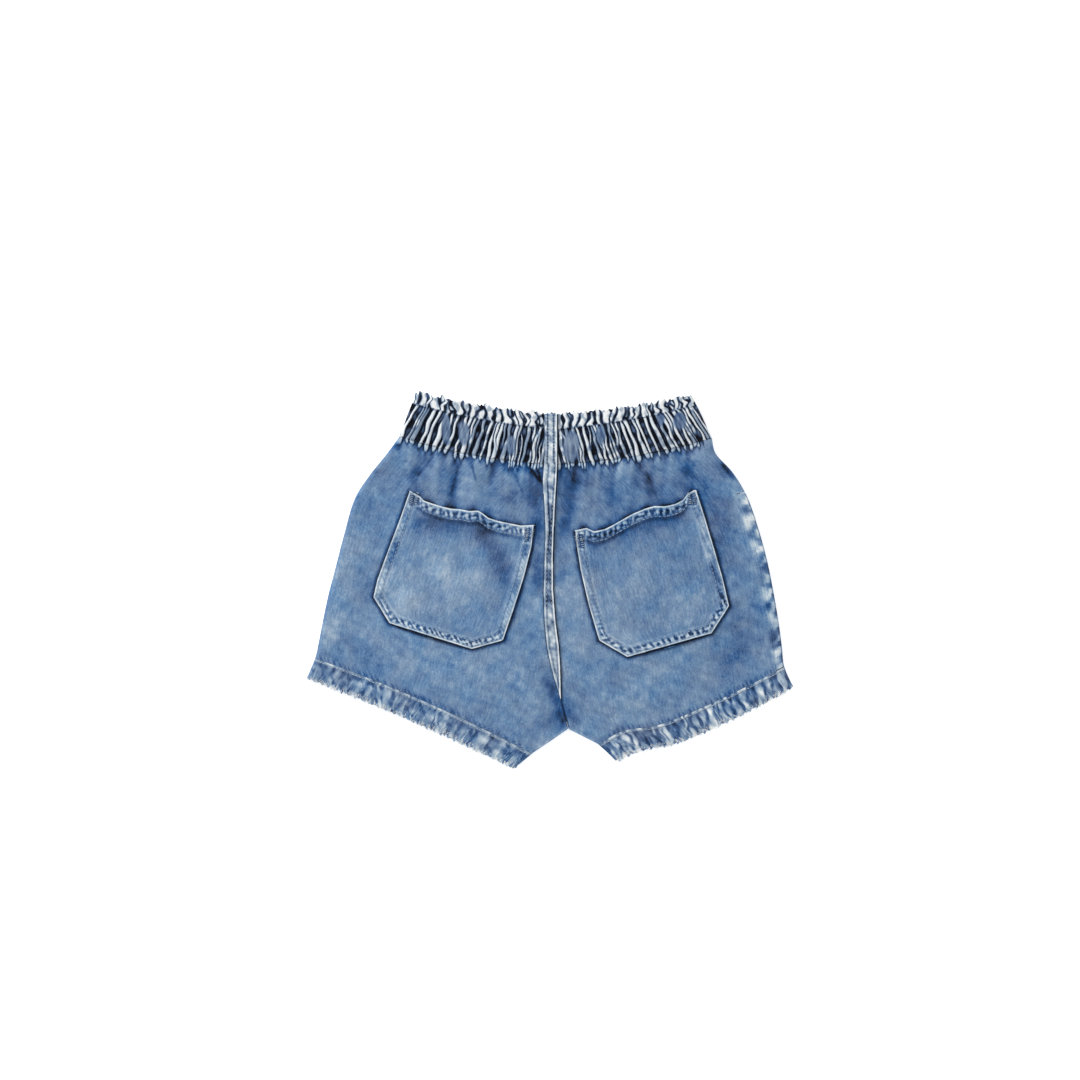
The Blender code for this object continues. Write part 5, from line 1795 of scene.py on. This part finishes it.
class SHORTS_OT_frays(bpy.types.Operator):
    """Pull loose white threads out of the hem edges and the ruffle"""

    bl_idname = "shorts.frays"
    bl_label = "Frayed Threads"

    def execute(self, context):
        reach = context.scene.shorts_sizes.fray_length / MM
        draw = np.random.default_rng(131)
        threads = [hem_thread(leg, draw, reach) for leg in LEGS for _ in range(HEM_FRAYS)]
        fray("hem_frays", threads, width=0.40)
        threads = [ruffle_thread(leg, draw) for leg in LEGS for _ in range(RUFFLE_FRAYS)]
        fray("ruffle_frays", threads, width=0.34)
        return {"FINISHED"}


class SHORTS_OT_stage(bpy.types.Operator):
    """Set the floor, the soft lights and the camera straight above"""

    bl_idname = "shorts.stage"
    bl_label = "Floor, Lights and Camera"

    def execute(self, context):
        scene = context.scene
        scene.view_settings.view_transform = "Standard"
        data = bpy.data.meshes.new("floor")
        corners = [(-1, -1), (1, -1), (1, 1), (-1, 1)]
        data.from_pydata([(x * FLOOR_REACH, y * FLOOR_REACH, FLOOR_LEVEL) for x, y in corners],
                         [], [(0, 1, 2, 3)])
        floor = bpy.data.objects.new("floor", data)
        scene.collection.objects.link(floor)
        floor.data.materials.append(floor_material())
        world = bpy.data.worlds.new("pale room")
        world.use_nodes = True
        feed(world.node_tree, world.node_tree.nodes["Background"],
             {0: (1.0, 1.0, 1.0, 1.0), 1: WORLD_STRENGTH})
        scene.world = world
        for name, place, size, power in LAMPS:
            lamp = bpy.data.lights.new(name, "AREA")
            lamp.size = size
            lamp.energy = power
            made = bpy.data.objects.new(name, lamp)
            scene.collection.objects.link(made)
            made.location = place
            made.rotation_euler = (-Vector(place)).to_track_quat("-Z", "Y").to_euler()
        view = bpy.data.cameras.new("overhead")
        view.sensor_width = 36.0
        view.lens = view.sensor_width * CAMERA_HEIGHT / FRAME_WIDTH
        camera = bpy.data.objects.new("overhead", view)
        scene.collection.objects.link(camera)
        camera.location = (*FRAME_CENTRE, CAMERA_HEIGHT)
        scene.camera = camera
        return {"FINISHED"}


# ---------------------------------------------------------------- settings and panel

def length_setting(label, note, usual, least, most):
    return bpy.props.FloatProperty(name=label, description=note, default=usual, min=least,
                                   max=most, subtype="DISTANCE", unit="LENGTH")


class ShortsSizes(bpy.types.PropertyGroup):
    """Sizes of the sewing"""

    stitch_pitch: length_setting(
        "Stitch Pitch", "Distance from one stitch to the next", 0.0036, 0.002, 0.008)
    stitch_length: length_setting(
        "Stitch Length", "Length of thread that shows in one stitch", 0.0028, 0.001, 0.007)
    thread_width: length_setting(
        "Thread Width", "Width of the sewing thread", 0.0007, 0.0002, 0.002)
    fray_length: length_setting(
        "Fray Length", "Usual length of a loose thread at the hems", 0.0030, 0.0, 0.01)


def colour_setting(label, note, red, green, blue):
    return bpy.props.FloatVectorProperty(
        name=label, description=note, default=linear(red, green, blue),
        min=0.0, max=1.0, size=3, subtype="COLOR")


class ShortsColours(bpy.types.PropertyGroup):
    """Colours of the wash"""

    # The raw indigo is also the colour of the painted shade between the gathers and along the
    # seams' and pockets' edges
    deep: colour_setting("Raw Indigo", "Unworn cloth deep in the folds", 5, 11, 25)
    dark: colour_setting("Dark Blue", "Cloth that wore little", 56, 90, 138)
    middle: colour_setting("Washed Blue", "Most of the cloth", 112, 142, 176)
    pale: colour_setting("Pale Blue", "Cloth that wore most", 178, 197, 212)
    white: colour_setting("Worn White", "Worn edges", 240, 243, 243)
    thread: colour_setting("Thread", "Sewing thread", 178, 194, 210)
    dyed_thread: colour_setting("Dyed Thread", "Thread of the waistband", 44, 56, 78)
    fray: colour_setting("Loose Thread", "Weft threads at frayed edges", 236, 240, 242)


class SHORTS_PT_sidebar(bpy.types.Panel):
    """Settings and steps of the shorts"""

    bl_idname = "SHORTS_PT_sidebar"
    bl_label = "Denim Shorts"
    bl_space_type = "VIEW_3D"
    bl_region_type = "UI"
    bl_category = "Shorts"

    def draw(self, context):
        layout = self.layout
        for settings in (context.scene.shorts_sizes, context.scene.shorts_colours):
            box = layout.box()
            for name in settings.__annotations__:
                box.prop(settings, name)
        for step in STEPS:
            layout.operator(step.bl_idname)


STEPS = (
    SHORTS_OT_stage,
    SHORTS_OT_back_panels,
    SHORTS_OT_front_panels,
    SHORTS_OT_waistband,
    SHORTS_OT_hems,
    SHORTS_OT_pockets,
    SHORTS_OT_centre_seams,
    SHORTS_OT_stitches,
    SHORTS_OT_frays,
)
SETTINGS = (ShortsSizes, ShortsColours)


def register():
    for made in SETTINGS + STEPS + (SHORTS_PT_sidebar,):
        bpy.utils.register_class(made)
    bpy.types.Scene.shorts_sizes = bpy.props.PointerProperty(type=ShortsSizes)
    bpy.types.Scene.shorts_colours = bpy.props.PointerProperty(type=ShortsColours)


def unregister():
    del bpy.types.Scene.shorts_colours
    del bpy.types.Scene.shorts_sizes
    for made in (SHORTS_PT_sidebar,) + STEPS[::-1] + SETTINGS[::-1]:
        bpy.utils.unregister_class(made)


def main():
    register()
    bpy.ops.shorts.stage()
    bpy.ops.shorts.back_panels()
    bpy.ops.shorts.front_panels()
    bpy.ops.shorts.waistband()
    bpy.ops.shorts.hems()
    bpy.ops.shorts.pockets()
    bpy.ops.shorts.centre_seams()
    bpy.ops.shorts.stitches()
    bpy.ops.shorts.frays()


if __name__ == "__main__":
    main()
